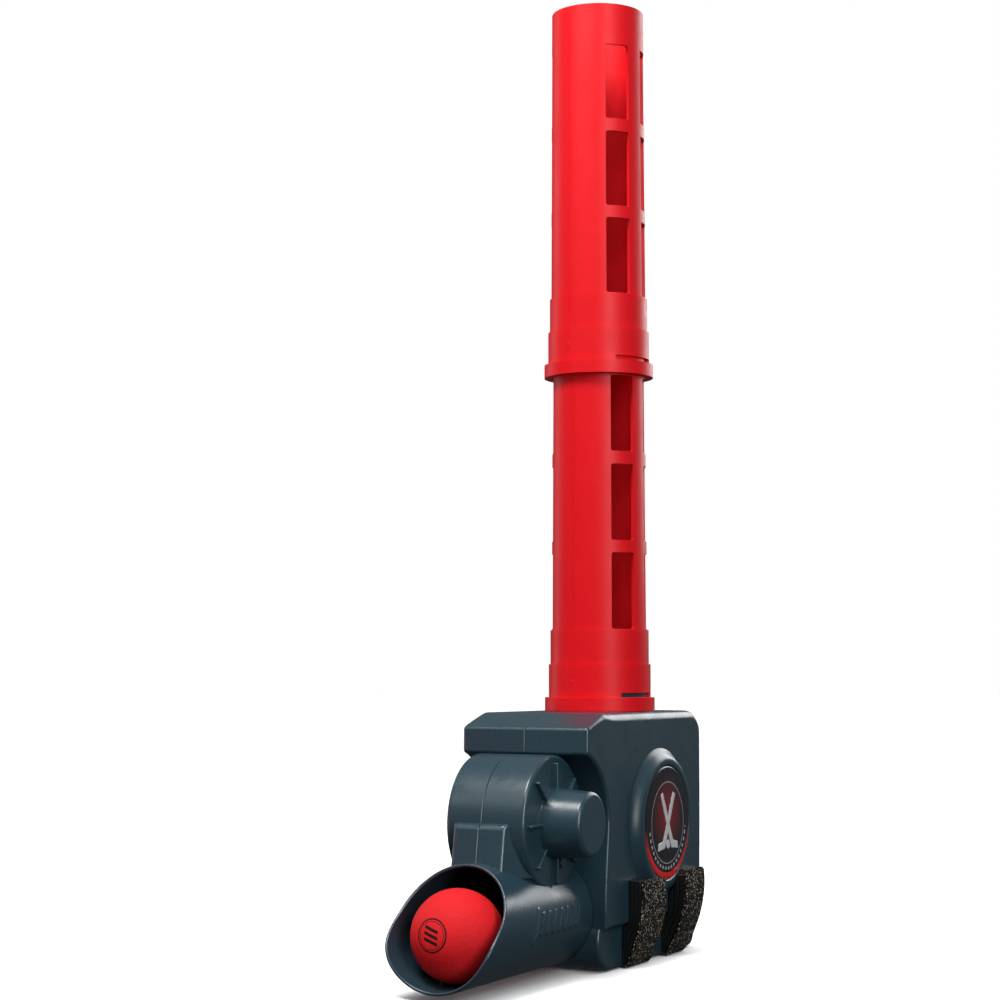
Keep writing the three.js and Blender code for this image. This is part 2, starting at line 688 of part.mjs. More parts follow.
function addChute() {
  const floorZ = 67.4;
  const floorY = 51.8;
  const outerR = 61.2;
  const innerR = 59.4;
  const outside = new THREE.Shape();
  outside.moveTo(9.5, floorZ - outerR);
  outside.lineTo(floorY, floorZ - outerR);
  outside.absarc(floorY, floorZ, outerR, -Math.PI / 2, 0, false);
  outside.lineTo(floorY + outerR, 157);
  outside.lineTo(50, 157);
  outside.lineTo(50, 126);
  outside.lineTo(22, 120);
  outside.lineTo(22, 70);
  outside.lineTo(9.5, 70);
  const inside = new THREE.Shape();
  inside.moveTo(-5, floorZ - innerR);
  inside.lineTo(floorY, floorZ - innerR);
  inside.absarc(floorY, floorZ, innerR, -Math.PI / 2, 0, false);
  inside.lineTo(floorY + innerR, 170);
  inside.lineTo(-5, 170);
  const chute = solid(slabX(outside, -32.5, 32.5))
    .subtract(solid(slabX(inside, -30.5, 30.5)))
    .subtract(rodX(-40, 40, ROTOR_Y, ROTOR_Z, 2.6, 16));
  addPart('ball_chute', chute, black);
}

// ---------- power ----------
function addPower() {
  const low = CELL_FIRST_Z - CELL_PITCH / 2 - 2.5;
  const high = CELL_FIRST_Z + 3.5 * CELL_PITCH + 2.5;
  const tray = box(-31.5, 31.5, 116, 145.5, low - 2, high + 2)
    .subtract(box(-29.3, 29.3, 118, 150, low, high));
  addPart('battery_tray', tray, black);
  for (let i = 0; i < 4; i += 1) {
    const z = CELL_FIRST_Z + i * CELL_PITCH;
    const half = CELL_LENGTH / 2;
    const can = rodX(-half, half - 1.5, CELL_Y, z, CELL_R);
    const cell = can.add(rodX(half - 1.6, half, CELL_Y, z, 3.5, 12));
    addPart(`battery_cell_${i + 1}`, i % 2 ? cell.mirror([1, 0, 0]) : cell, cellWrap);
  }
  addPart('contact_strip_right', box(27.4, 28.2, 121, 144, low + 2, high - 2), steel);
  addPart('contact_strip_left', box(-28.2, -27.4, 121, 144, low + 2, high - 2), steel);

  const wall = joined([1, -1].map((side) => housingForm(side, 0).subtract(housingForm(side, WALL))));
  const barrel = rodX(-DOOR_HALF, DOOR_HALF, DOOR_PIN_Y, DOOR_PIN_Z, DOOR_BARREL_R, 16);
  const door = wall
    .intersect(box(-DOOR_HALF, DOOR_HALF, 147, 170, DOOR_PIN_Z + 1, DOOR_HIGH))
    .add(barrel)
    .subtract(rodX(-40, 40, DOOR_PIN_Y, DOOR_PIN_Z, 1.3, 12));
  addPart('battery_door', door, slate);
  addPart('door_hinge_pin', rodX(-36.6, 36.6, DOOR_PIN_Y, DOOR_PIN_Z, 1, 12), steel);
}

function addBoard() {
  const plate = box(-39.4, -37.8, 42, 104, 66, 118);
  const relay = box(-38, -33.6, 50, 64, 92, 108);
  const capacitor = box(-38, -34, 74, 84, 96, 106);
  const chip = box(-38, -36, 60, 76, 74, 82);
  const socket = box(-38, -34, 88, 100, 72, 80);
  addPart('circuit_board', joined([plate, relay, capacitor, chip, socket]), board);
}

function addSwitch() {
  const slot = box(-43, -39.5, SWITCH_Y - 5.5, SWITCH_Y + 6.5, SWITCH_Z - 1.5, SWITCH_Z + 1.5);
  const base = box(-42.5, -37, SWITCH_Y - 8.6, SWITCH_Y + 8.6, SWITCH_Z - 4.6, SWITCH_Z + 4.6);
  addPart('power_switch_base', base.subtract(slot), black);
  const cap = box(-46.6, -42.9, SWITCH_Y - 7, SWITCH_Y, SWITCH_Z - 3.5, SWITCH_Z + 3.5);
  const stem = box(-43, -40, SWITCH_Y - 4.5, SWITCH_Y - 2.5, SWITCH_Z - 1, SWITCH_Z + 1);
  addPart('power_switch_knob', cap.add(stem), black);
}

// ---------- trim ----------
function addBadges() {
  addPart('badge_disc_right', rodX(48.7, BADGE_FACE_X, BADGE_Y, BADGE_Z, BADGE_R, 48), black);
  addPart('badge_disc_left', rodX(-BADGE_FACE_X, -48.7, BADGE_Y, BADGE_Z, BADGE_R, 48), black);
}

// One foot pad: a moulded backing against the side panel, and a foam face that tucks under.
function addPad(name, side, y0, y1, top, bulge) {
  const foam = [
    [56.3 + bulge, top],
    [57.2 + bulge, 45],
    [54.6 + bulge * 0.8, 27],
    [49.6 + bulge * 0.5, 12],
    [46.3 + bulge * 0.2, 4],
    [43.8, 0],
    [40.4, 0],
    [40.4, 1.6],
    [42.6, 1.8],
    [44.4 + bulge * 0.2, 5.4],
    [47.8 + bulge * 0.5, 13],
    [52.4 + bulge * 0.8, 27.8],
    [55 + bulge, 45],
    [54.2 + bulge, top],
  ];
  const backing = [
    [45.4, top],
    [53.9 + bulge, top],
    [54.7 + bulge, 45],
    [52.1 + bulge * 0.8, 28.2],
    [47.4 + bulge * 0.5, 13.6],
    [44 + bulge * 0.2, 6],
    [42.3, 2.1],
    [40.4, 2.1],
    [40.4, LEDGE_Z - 0.4],
    [45.4, LEDGE_Z - 0.4],
  ];
  const keepOut = ringClearance(side);
  const pieces = [[`${name}_foam`, foam, foamBlack], [`${name}_backing`, backing, black]];
  for (const [node, outline, material] of pieces) {
    const mirrored = outline.map(([x, z]) => [side * x, z]);
    addPart(node, slabY(shapeOf(mirrored), y0, y1).subtract(keepOut), material);
  }
}

function addPads() {
  for (const [hand, side] of [['right', 1], ['left', -1]]) {
    addPad(`front_pad_${hand}`, side, 27.3, 64, 56.9, 0);
    addPad(`rear_pad_${hand}`, side, 92.5, 123.5, 58.8, 3.3);
  }
}

function addScrews() {
  SCREW_PLACES.forEach(([y, z], i) => {
    const seat = SCREW_SEAT_X + GAP;
    const screw = rodX(-seat - 1, 10, y, z, 1.4, 8).add(rodX(-seat - 2.3, -seat, y, z, 2.6, 12));
    addPart(`case_screw_${i + 1}`, screw, steel);
  });
  const shank = rodX(-14, 8, HEAD_SCREW_Y, HEAD_SCREW_Z, 1.25, 8);
  addPart('head_screw', shank.add(rodX(-15.2, -13.3, HEAD_SCREW_Y, HEAD_SCREW_Z, 2.6, 12)), steel);
}

function addBall() {
  const sphere = new THREE.SphereGeometry(BALL_R, 24, 14);
  const ball = addPart('foam_ball', solid(sphere), foamRed);
  ball.position.set(0, BALL_Y, BALL_Z);
}

addTubes();
addNeckRing();
addHousing();
addHead();
addThrowingWheel();
addFeed();
addChute();
addPower();
addBoard();
addSwitch();
addBadges();
addPads();
addScrews();
addBall();

export default group;
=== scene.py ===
"""Looks for the mini hockey ball passer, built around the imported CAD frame."""
import json
import math

import bmesh
import bpy
import numpy as np
from mathutils import Matrix, Vector, noise


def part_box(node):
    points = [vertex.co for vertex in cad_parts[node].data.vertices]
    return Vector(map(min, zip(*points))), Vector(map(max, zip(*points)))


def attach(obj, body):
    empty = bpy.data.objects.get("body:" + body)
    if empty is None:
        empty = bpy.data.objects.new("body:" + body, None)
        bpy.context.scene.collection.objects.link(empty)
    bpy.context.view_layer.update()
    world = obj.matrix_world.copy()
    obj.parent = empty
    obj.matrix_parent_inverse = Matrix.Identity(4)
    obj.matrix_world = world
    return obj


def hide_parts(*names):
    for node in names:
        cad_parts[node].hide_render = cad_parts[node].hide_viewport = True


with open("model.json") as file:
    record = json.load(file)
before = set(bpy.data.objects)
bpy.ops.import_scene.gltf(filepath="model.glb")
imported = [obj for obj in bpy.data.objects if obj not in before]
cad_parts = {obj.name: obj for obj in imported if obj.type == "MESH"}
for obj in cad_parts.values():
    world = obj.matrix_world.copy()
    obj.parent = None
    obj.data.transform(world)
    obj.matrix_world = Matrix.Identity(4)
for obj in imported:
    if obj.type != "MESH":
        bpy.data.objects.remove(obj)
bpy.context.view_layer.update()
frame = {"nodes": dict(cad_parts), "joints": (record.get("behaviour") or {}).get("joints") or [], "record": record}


# ---------- places and sizes, in millimetres ----------
def box_mm(node):
    low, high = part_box(node)
    return np.array(low) * 1000, np.array(high) * 1000


def centre_mm(node):
    low, high = box_mm(node)
    return (low + high) / 2


def joint_mm(name):
    found = [j for j in frame["joints"] if j["name"] == name][0]
    return np.array(found["pos_m"]) * 1000


WALL = 2.2
PARTING = 0.1                     # half the gap between left and right mouldings
CHAMFER = 0.32                    # small chamfer along the parting line
CLEAN_REACH = 0.004               # vertices nearer than this are one
FIT_GAP = 0.4                     # room round a part that sits in an opening

TUBE_Y = centre_mm("tube_lower")[1]
TUBE_BASES = [box_mm("tube_lower")[0][2], box_mm("tube_upper")[0][2]]
TUBE_TOP = box_mm("tube_lower")[1][2] - TUBE_BASES[0]
TUBE_TWISTS = [-7, -12]           # degrees
SOCKET_R = 32.4
COLLAR_R = 37.8
SLEEVE_R = 35.1
SHOULDER_R = 33.9
TUBE_R, TUBE_END_R = 33.0, 32.0   # outside of the plain run, at its foot and top
BORE_R, BORE_END_R = 30.4, 30.0   # inside of the same run
RUN_FOOT = 55.0
WINDOW_COLUMNS = [(46.3, 77.8), (102.2, 133.7)]    # degrees round from the front, on both sides
WINDOW_ROWS = [(55.6, 107.6), (116, 168), (176.8, 228.8)]
SLIT_COLUMN = (56, 124)
SLIT_ROW = (9.4, 12.4)
WINDOW_CORNER_R = 1.6

BODY_LOW, BODY_HIGH = box_mm("body_shell_right")
BODY_BACK = BODY_HIGH[1]
BODY_BACK_LOW = 152.0
BODY_TOP_FRONT = BODY_HIGH[2]
BODY_TOP_BACK = 165.0
BODY_BOTTOM = BODY_LOW[2]
BODY_FRONT = -5.6                 # front face at the ledge
FRONT_EDGE = [(-1.8, 96.4), (-2.4, 86), (-4.3, 73), (-6.0, 60), (-6.2, 48), (BODY_FRONT, 28.7)]
BODY_HALF = 45.0
SKIRT_HALF = 40.0
SKIRT_LAP = 8.0
LEDGE_Z = 28.7
TOE_R = 18.5
TOE_Y = 10.4
PANEL_EDGE_R = 2.2                # edge between the side and the other faces
PANEL_TOP_EDGE_R = 5.8            # the same edge along the top
SKIRT_EDGE_R = 2.2
VISOR_TIP = (-34, 157.6)
VISOR_LIP_Y = -34.3
NECK_HOLE_R = 32.4
NECK_CUT = (150, 180)             # heights that the hole for the neck is cut between

DRUM_Y, DRUM_Z = joint_mm("throw_wheel_spin")[1:]
DRUM_R = 42.3
DRUM_HALVES = {"right": 29.4, "left": 25.2}
RECESS_Y, RECESS_Z, RECESS_R = -48.5, 96.4, 46.7
POD_END_X = box_mm("head_shell_right")[1][0]
POD_R = 20.3
BLOCK_HALF = 16.8                 # half width of the block's front face
BLOCK_SPREAD = 0.65               # widening of the block for each millimetre towards the drum
HEAD_WALL = 2.0
FACE_RIB_FROM_R, FACE_RIB_TO_R = 19.8, 37.6
FACE_RIB_HALF = 1.0
FACE_RIB_HEIGHT = 3.0

MOUTH_Y = box_mm("head_shell_right")[0][1]
MOUTH_R = 37.5
NOZZLE_REAR_Y = -4.0
NOZZLE_REAR_R = 35.0
NOZZLE_BOTTOM = box_mm("head_shell_right")[0][2]
NOZZLE_REAR_Z = NOZZLE_BOTTOM + NOZZLE_REAR_R
SPIGOT_Z = 37.0
SPIGOT_R = 31.5
SPIGOT_BORE_R = 29.8
SPIGOT_END_Y = box_mm("head_shell_right")[1][1]
NOZZLE_SEAT = (-3.8, -1.2)        # front and back of the ring that the nozzle's rear end meets
BALL_RAIL = ((8, -128, 6.1), (10, -10, 8))     # corners of the right rail that the ball rolls on

BADGE_CENTRE = centre_mm("badge_disc_right")
BADGE_R = 37.8
BADGE_FACE_X = box_mm("badge_disc_right")[1][0]
BADGE_BACK_X = 48.3

BALL_CENTRE = centre_mm("foam_ball")
BALL_R = 28.6

DOOR_PIN_Y, DOOR_PIN_Z = joint_mm("battery_door_hinge")[1:]
DOOR_HIGH = box_mm("battery_door")[1][2]
DOOR_HALF = box_mm("battery_door")[1][0]
DOOR_BARREL_R = 2.4
DOOR_PIN_BORE_R = 1.3
FINGER_RIB_HALF = 16
FINGER_RIB_ZS = np.linspace(126, 141, 5)
SWITCH_Y, SWITCH_Z = centre_mm("power_switch_base")[1:]
SCREW_HOLE_R = 3.0

PAD_X = 57.2                      # how far a pad without a bulge reaches
BAR_YS = np.linspace(-92, -32, 8)
BAR_SPANS = [(28, 50)] + [(33, 47)] * 7    # lowest and highest point of each nozzle bar
BAR_WIDTH = 2.6


# ---------- camera, light and floor ----------
CAMERA_PLACE = (0.6244, -1.2763, 0.203)
CAMERA_TURN = math.radians(27.334)
CAMERA_PITCH = math.radians(4.148)
CAMERA_LENS = 77.63


def add_camera():
    data = bpy.data.cameras.new("camera")
    data.sensor_width = 36
    data.lens = CAMERA_LENS
    data.clip_end = 50
    camera = bpy.data.objects.new("camera", data)
    bpy.context.scene.collection.objects.link(camera)
    level = math.cos(CAMERA_PITCH)
    forward = Vector((-math.sin(CAMERA_TURN) * level, math.cos(CAMERA_TURN) * level, math.sin(CAMERA_PITCH)))
    right = Vector((math.cos(CAMERA_TURN), math.sin(CAMERA_TURN), 0))
    up = right.cross(forward)
    rotation = Matrix((right, up, -forward)).transposed().to_4x4()
    camera.matrix_world = Matrix.Translation(CAMERA_PLACE) @ rotation
    bpy.context.scene.camera = camera


def add_area(name, place, target, size, power, color=(1, 1, 1)):
    data = bpy.data.lights.new(name, "AREA")
    data.shape = "RECTANGLE"
    data.size, data.size_y = size
    data.energy = power
    data.color = color
    lamp = bpy.data.objects.new(name, data)
    bpy.context.scene.collection.objects.link(lamp)
    heading = Vector(target) - Vector(place)
    lamp.matrix_world = Matrix.Translation(place) @ heading.to_track_quat("-Z", "Y").to_matrix().to_4x4()


def add_world():
    """White behind the object, and a dim sky that is brighter above than below for everything else."""
    world = bpy.data.worlds.new("studio")
    bpy.context.scene.world = world
    world.use_nodes = True
    tree = world.node_tree
    tree.nodes.clear()
    out = tree.nodes.new("ShaderNodeOutputWorld")
    mix = tree.nodes.new("ShaderNodeMixShader")
    path = tree.nodes.new("ShaderNodeLightPath")
    place = tree.nodes.new("ShaderNodeTexCoord")
    split = tree.nodes.new("ShaderNodeSeparateXYZ")
    height = tree.nodes.new("ShaderNodeMapRange")
    for key, value in (("From Min", -0.3), ("From Max", 0.9), ("To Min", 0.05), ("To Max", 0.3)):
        height.inputs[key].default_value = value
    fill = tree.nodes.new("ShaderNodeBackground")
    fill.inputs["Color"].default_value = (0.88, 0.94, 1, 1)
    seen = tree.nodes.new("ShaderNodeBackground")
    seen.inputs["Color"].default_value = (1, 1, 1, 1)
    tree.links.new(place.outputs["Generated"], split.inputs[0])
    tree.links.new(split.outputs["Z"], height.inputs["Value"])
    tree.links.new(height.outputs["Result"], fill.inputs["Strength"])
    tree.links.new(path.outputs["Is Camera Ray"], mix.inputs["Fac"])
    tree.links.new(fill.outputs[0], mix.inputs[1])
    tree.links.new(seen.outputs[0], mix.inputs[2])
    tree.links.new(mix.outputs[0], out.inputs[0])


def add_floor():
    """A pale floor with its own soft light, which reads white and doesn't light the object from below."""
    mesh = bpy.data.meshes.new("floor")
    reach = 9.0
    corners = [(-reach, -reach, 0), (reach, -reach, 0), (reach, reach, 0), (-reach, reach, 0)]
    mesh.from_pydata(corners, [], [(0, 1, 2, 3)])
    floor = bpy.data.objects.new("floor", mesh)
    bpy.context.scene.collection.objects.link(floor)
    floor.location.z = -0.0002
    floor.visible_diffuse = False
    floor.visible_glossy = False
    material = new_material("floor_white")
    shader = principled(material)
    shader.inputs["Base Color"].default_value = (0.93, 0.93, 0.93, 1)
    shader.inputs["Roughness"].default_value = 0.9
    shader.inputs["Specular IOR Level"].default_value = 0.1
    mesh.materials.append(material)
    only = bpy.data.collections.new("floor_only")
    only.objects.link(floor)
    data = bpy.data.lights.new("floor_sun", "SUN")
    data.energy = 3.3
    data.angle = math.radians(70)
    sun = bpy.data.objects.new("floor_sun", data)
    bpy.context.scene.collection.objects.link(sun)
    sun.light_linking.receiver_collection = only


def add_stage():
    add_world()
    add_area("key", (-0.75, -1.3, 1.15), (0, 0, 0.6), (0.5, 0.6), 1.4)
    add_area("top", (-0.1, -0.6, 1.25), (0, -0.03, 0.12), (0.6, 0.4), 14)
    add_area("right_key", (1.1, -0.8, 0.65), (0, 0, 0.3), (0.4, 1.2), 11.5)
    add_area("back", (0.35, 1.5, 0.8), (0, 0.05, 0.25), (0.9, 0.9), 10)
    add_area("left", (-1.3, 0.25, 0.6), (0, 0.03, 0.25), (0.3, 1.1), 2.2)
    add_area("red_kick", (-0.7, -0.55, 0.12), (-0.04, -0.02, 0.13), (0.2, 0.2), 0.8, (1, 0.1, 0.12))
    add_floor()
    bpy.context.scene.view_settings.view_transform = "Standard"


# ---------- material helpers ----------
def new_material(name):
    material = bpy.data.materials.new(name)
    material.use_nodes = True
    return material


def principled(material):
    return material.node_tree.nodes["Principled BSDF"]


class Nodes:
    """Short calls for building one material's node tree."""

    def __init__(self, material):
        self.tree = material.node_tree
        self.shader = principled(material)
        self.place = self.tree.nodes.new("ShaderNodeTexCoord").outputs["Object"]

    def add(self, kind, **values):
        node = self.tree.nodes.new("ShaderNode" + kind)
        for key, value in values.items():
            setattr(node, key, value)
        return node

    def link(self, source, target):
        self.tree.links.new(source, target)

    def noise(self, scale, detail=2.0, roughness=0.5, stretch=None):
        node = self.add("TexNoise")
        node.inputs["Scale"].default_value = scale
        node.inputs["Detail"].default_value = detail
        node.inputs["Roughness"].default_value = roughness
        source = self.place
        if stretch:
            mapping = self.add("Mapping")
            mapping.inputs["Scale"].default_value = stretch
            self.link(self.place, mapping.inputs["Vector"])
            source = mapping.outputs["Vector"]
        self.link(source, node.inputs["Vector"])
        return node.outputs["Fac"]

    def voronoi(self, scale):
        node = self.add("TexVoronoi")
        node.inputs["Scale"].default_value = scale
        self.link(self.place, node.inputs["Vector"])
        return node.outputs["Distance"]

    def ramp(self, value, stops):
        node = self.add("ValToRGB")
        elements = node.color_ramp.elements
        while len(elements) < len(stops):
            elements.new(0.5)
        for element, (position, color) in zip(elements, stops):
            element.position = position
            element.color = (*color, 1)
        self.link(value, node.inputs["Fac"])
        return node.outputs["Color"]

    def spread(self, value, low, high, from_low=0.0, from_high=1.0):
        node = self.add("MapRange")
        ends = {"From Min": from_low, "From Max": from_high, "To Min": low, "To Max": high}
        for key, end in ends.items():
            node.inputs[key].default_value = end
        self.link(value, node.inputs["Value"])
        return node.outputs["Result"]

    def math(self, operation, a, b=None):
        node = self.add("Math", operation=operation)
        for socket, value in zip(node.inputs, (a, b)):
            if value is None:
                continue
            if isinstance(value, (int, float)):
                socket.default_value = value
            else:
                self.link(value, socket)
        return node.outputs[0]

    def mix(self, factor, a, b):
        node = self.add("Mix", data_type="RGBA")
        values = {("Factor", "VALUE"): factor, ("A", "RGBA"): a, ("B", "RGBA"): b}
        for socket in node.inputs:
            if (socket.name, socket.type) in values:
                self.set(socket, values[socket.name, socket.type])
        return [o for o in node.outputs if o.type == "RGBA"][0]

    def set(self, socket, value):
        if isinstance(value, bpy.types.NodeSocket):
            self.link(value, socket)
        elif isinstance(value, tuple):
            socket.default_value = (*value, 1)
        else:
            socket.default_value = value

    def bump(self, height, strength, distance, below=None):
        node = self.add("Bump")
        node.inputs["Strength"].default_value = strength
        node.inputs["Distance"].default_value = distance
        self.link(height, node.inputs["Height"])
        if below is not None:
            self.link(below, node.inputs["Normal"])
        return node.outputs["Normal"]

    def finish(self, color, roughness, normal=None):
        self.set(self.shader.inputs["Base Color"], color)
        self.set(self.shader.inputs["Roughness"], roughness)
        if normal is not None:
            self.link(normal, self.shader.inputs["Normal"])


def moulded_plastic(name, deep, pale, rough, grain=0.12, specular=0.5):
    """Injection moulded plastic: faint flow marks, fine grain, and patchy gloss."""
    material = new_material(name)
    n = Nodes(material)
    flow = n.noise(14, 4, 0.6, stretch=(1, 1, 0.35))
    color = n.ramp(flow, [(0.3, deep), (0.7, pale)])
    fine = n.noise(2600, 3, 0.6)
    gloss = n.math("ADD", n.noise(60, 5, 0.6), n.math("MULTIPLY", fine, 0.5))
    roughness = n.spread(gloss, rough - 0.06, rough + 0.1, 0.4, 1.1)
    soft = n.bump(n.noise(90, 3, 0.5), 0.08, 0.0008)
    normal = n.bump(fine, grain, 0.00012, below=soft)
    n.finish(color, roughness, normal)
    n.shader.inputs["Specular IOR Level"].default_value = specular
    return material


def foam_black_material():
    """Open-cell foam: black with pale specks where cell edges catch light."""
    material = new_material("foam_black")
    n = Nodes(material)
    specks = n.voronoi(640)
    bright = n.spread(specks, 1.0, 0.0, 0.2, 0.42)
    patch = n.spread(n.noise(260, 2), 0.2, 1.0, 0.42, 0.56)
    speck = n.math("MULTIPLY", bright, patch)
    base = n.ramp(n.noise(420, 3), [(0.3, (0.002, 0.002, 0.002)), (0.75, (0.016, 0.014, 0.012))])
    color = n.mix(speck, base, (0.6, 0.53, 0.42))
    height = n.math("ADD", n.voronoi(850), n.math("MULTIPLY", n.noise(1400, 3), 0.6))
    n.finish(color, n.spread(speck, 0.95, 0.55), n.bump(height, 0.9, 0.0006))
    n.shader.inputs["Specular IOR Level"].default_value = 0.2
    return material


def foam_red_material():
    """Red ball foam with fine pits whose colour is darkened inside them as painted shade, and a plain dark print
    on the side that faces out.
    """
    material = new_material("foam_red")
    n = Nodes(material)
    pits = n.voronoi(1150)
    tone = n.ramp(n.noise(45, 4), [(0.3, (0.68, 0.008, 0.012)), (0.7, (0.78, 0.013, 0.018))])
    # painted shade: the red turns darker towards the middle of each pit, where the bump below dips
    color = n.mix(n.spread(pits, 0.3, 0.0, 0.0, 0.2), tone, (0.45, 0.006, 0.008))
    color = n.mix(ball_print(n), color, (0.02, 0.004, 0.004))
    height = n.math("ADD", n.spread(pits, 0, 1, 0.0, 0.35), n.math("MULTIPLY", n.noise(700, 4), 0.7))
    n.finish(color, n.spread(n.noise(300, 3), 0.62, 0.82), n.bump(height, 0.55, 0.00035))
    n.shader.inputs["Specular IOR Level"].default_value = 0.25
    return material


def ball_print(n):
    """A plain mark for the ball: a double ring round three short slanted bars."""
    spot = Vector((-0.1, -0.965, 0.11)).normalized()
    side = spot.cross(Vector((0, 0, 1))).normalized()
    lift = side.cross(spot).normalized()
    centre = BALL_CENTRE / 1000

    def along(axis):
        shifted = n.add("VectorMath", operation="SUBTRACT")
        n.link(n.place, shifted.inputs[0])
        shifted.inputs[1].default_value = centre
        dot = n.add("VectorMath", operation="DOT_PRODUCT")
        n.link(shifted.outputs["Vector"], dot.inputs[0])
        dot.inputs[1].default_value = axis
        return dot.outputs["Value"]

    u, v, w = along(side), along(lift), along(spot)
    radius = n.math("SQRT", n.math("ADD", n.math("MULTIPLY", u, u), n.math("MULTIPLY", v, v)))

    def band(value, middle, half):
        off = n.math("ABSOLUTE", n.math("SUBTRACT", value, middle))
        return n.math("LESS_THAN", off, half)

    ring = band(radius, 0.0098, 0.0005)
    inner = band(radius, 0.0084, 0.0002)
    bars = None
    for middle in (-0.0036, 0.0, 0.0036):
        slanted = n.math("ADD", v, n.math("MULTIPLY", u, -0.35))
        bar = n.math("MULTIPLY", band(slanted, middle, 0.001), band(u, 0.0, 0.0048))
        bars = bar if bars is None else n.math("MAXIMUM", bars, bar)
    mark = n.math("MAXIMUM", n.math("MAXIMUM", ring, inner), bars)
    front = n.math("GREATER_THAN", w, 0.0)
    return n.math("MULTIPLY", mark, front)


def badge_material():
    """Printed disc: black with a dark red glow, a fine ring, plain dashes and a red crescent below."""
    material = new_material("badge_print")
    n = Nodes(material)
    split = n.add("SeparateXYZ")
    n.link(n.place, split.inputs[0])
    y = n.math("SUBTRACT", split.outputs["Y"], BADGE_CENTRE[1] / 1000)
    z = n.math("SUBTRACT", split.outputs["Z"], BADGE_CENTRE[2] / 1000)

    def distance(lift):
        up = n.math("SUBTRACT", z, lift)
        return n.math("SQRT", n.math("ADD", n.math("MULTIPLY", y, y), n.math("MULTIPLY", up, up)))

    def circle(value, middle, half):
        return n.math("LESS_THAN", n.math("ABSOLUTE", n.math("SUBTRACT", value, middle)), half)

    radius = distance(0.0)
    glow = n.spread(distance(0.006), 0, 1, 0.006, 0.026)
    tone = n.ramp(glow, [(0.0, (0.2, 0.005, 0.008)), (1.0, (0.004, 0.003, 0.004))])
    turn = n.math("MULTIPLY", n.math("ARCTAN2", z, y), 40.0)
    broken = n.math("GREATER_THAN", n.math("SINE", turn), -0.1)
    dash = n.math("MULTIPLY", broken, circle(radius, 0.0305, 0.001))
    low = n.math("LESS_THAN", z, -0.004)
    marks = n.math("MAXIMUM", n.math("MULTIPLY", dash, low), circle(radius, 0.0272, 0.0003))
    color = n.mix(marks, tone, (0.4, 0.4, 0.41))
    crescent = n.math("GREATER_THAN", distance(0.003), 0.0363)
    fade = n.spread(z, 1.0, 0.0, -0.02, -0.002)
    color = n.mix(n.math("MULTIPLY", crescent, fade), color, (0.7, 0.012, 0.02))
    n.finish(color, n.spread(n.noise(80, 3), 0.2, 0.34), n.bump(n.noise(1500, 2), 0.05, 0.0001))
    n.shader.inputs["Coat Weight"].default_value = 0.3
    n.shader.inputs["Coat Roughness"].default_value = 0.12
    return material


def metal_material(name, deep, pale, rough, metallic=1.0):
    material = new_material(name)
    n = Nodes(material)
    streaks = n.noise(500, 3, stretch=(0.1, 1, 1))
    color = n.ramp(streaks, [(0.3, deep), (0.7, pale)])
    n.finish(color, n.spread(streaks, rough - 0.08, rough + 0.1), n.bump(streaks, 0.15, 0.0001))
    n.shader.inputs["Metallic"].default_value = metallic
    return material


def rubber_material():
    material = new_material("wheel_rubber")
    n = Nodes(material)
    color = n.ramp(n.noise(120, 4), [(0.3, (0.012, 0.012, 0.012)), (0.7, (0.03, 0.03, 0.03))])
    n.finish(color, n.spread(n.noise(400, 3), 0.7, 0.9), n.bump(n.noise(1500, 3), 0.4, 0.0002))
    return material


def board_material():
    material = new_material("board_green")
    n = Nodes(material)
    tracks = n.add("TexBrick")
    tracks.inputs["Scale"].default_value = 90
    tracks.inputs["Mortar Size"].default_value = 0.01
    tracks.inputs["Color1"].default_value = (0.01, 0.11, 0.035, 1)
    tracks.inputs["Color2"].default_value = (0.012, 0.13, 0.04, 1)
    tracks.inputs["Mortar"].default_value = (0.03, 0.25, 0.09, 1)
    n.link(n.place, tracks.inputs["Vector"])
    roughness = n.spread(n.noise(200, 2), 0.3, 0.45)
    n.finish(tracks.outputs["Color"], roughness, n.bump(n.noise(900, 2), 0.1, 0.0001))
    return material


MATERIALS = {
    "slate_plastic": moulded_plastic(
        "slate_plastic", (0.016, 0.042, 0.058), (0.02, 0.05, 0.068), 0.28, specular=0.7),
    "red_plastic": moulded_plastic(
        "red_plastic", (0.66, 0.004, 0.009), (0.74, 0.006, 0.012), 0.4, grain=0.2, specular=0.25),
    "black_plastic": moulded_plastic(
        "black_plastic", (0.004, 0.004, 0.004), (0.009, 0.009, 0.008), 0.34, grain=0.15),
    "white_plastic": moulded_plastic("white_plastic", (0.72, 0.7, 0.64), (0.8, 0.79, 0.74), 0.45),
    "battery_wrap": moulded_plastic("battery_wrap", (0.02, 0.06, 0.16), (0.03, 0.08, 0.2), 0.3),
    "badge": badge_material(),
    "black_foam": foam_black_material(),
    "red_foam": foam_red_material(),
    "wheel_rubber": rubber_material(),
    "steel": metal_material("plated_steel", (0.5, 0.5, 0.52), (0.66, 0.66, 0.68), 0.32),
    "bronze": metal_material("bush_bronze", (0.4, 0.27, 0.12), (0.55, 0.38, 0.18), 0.38),
    "circuit_board": board_material(),
}
SILVER = metal_material("emblem_silver", (0.7, 0.7, 0.71), (0.85, 0.85, 0.86), 0.3, metallic=0.3)


# ---------- mesh helpers, all in millimetres ----------
def loft(rings, caps=True):
    """Closed rings of equal length joined in order, with end caps; returns (vertices, faces)."""
    count = len(rings[0])
    verts = [tuple(p) for ring in rings for p in ring]
    faces = []
    for r in range(len(rings) - 1):
        for i in range(count):
            j = (i + 1) % count
            faces.append((r * count + i, r * count + j, (r + 1) * count + j, (r + 1) * count + i))
    if caps:
        last = (len(rings) - 1) * count
        faces.append(tuple(reversed(range(count))))
        faces.append(tuple(last + i for i in range(count)))
    return verts, faces


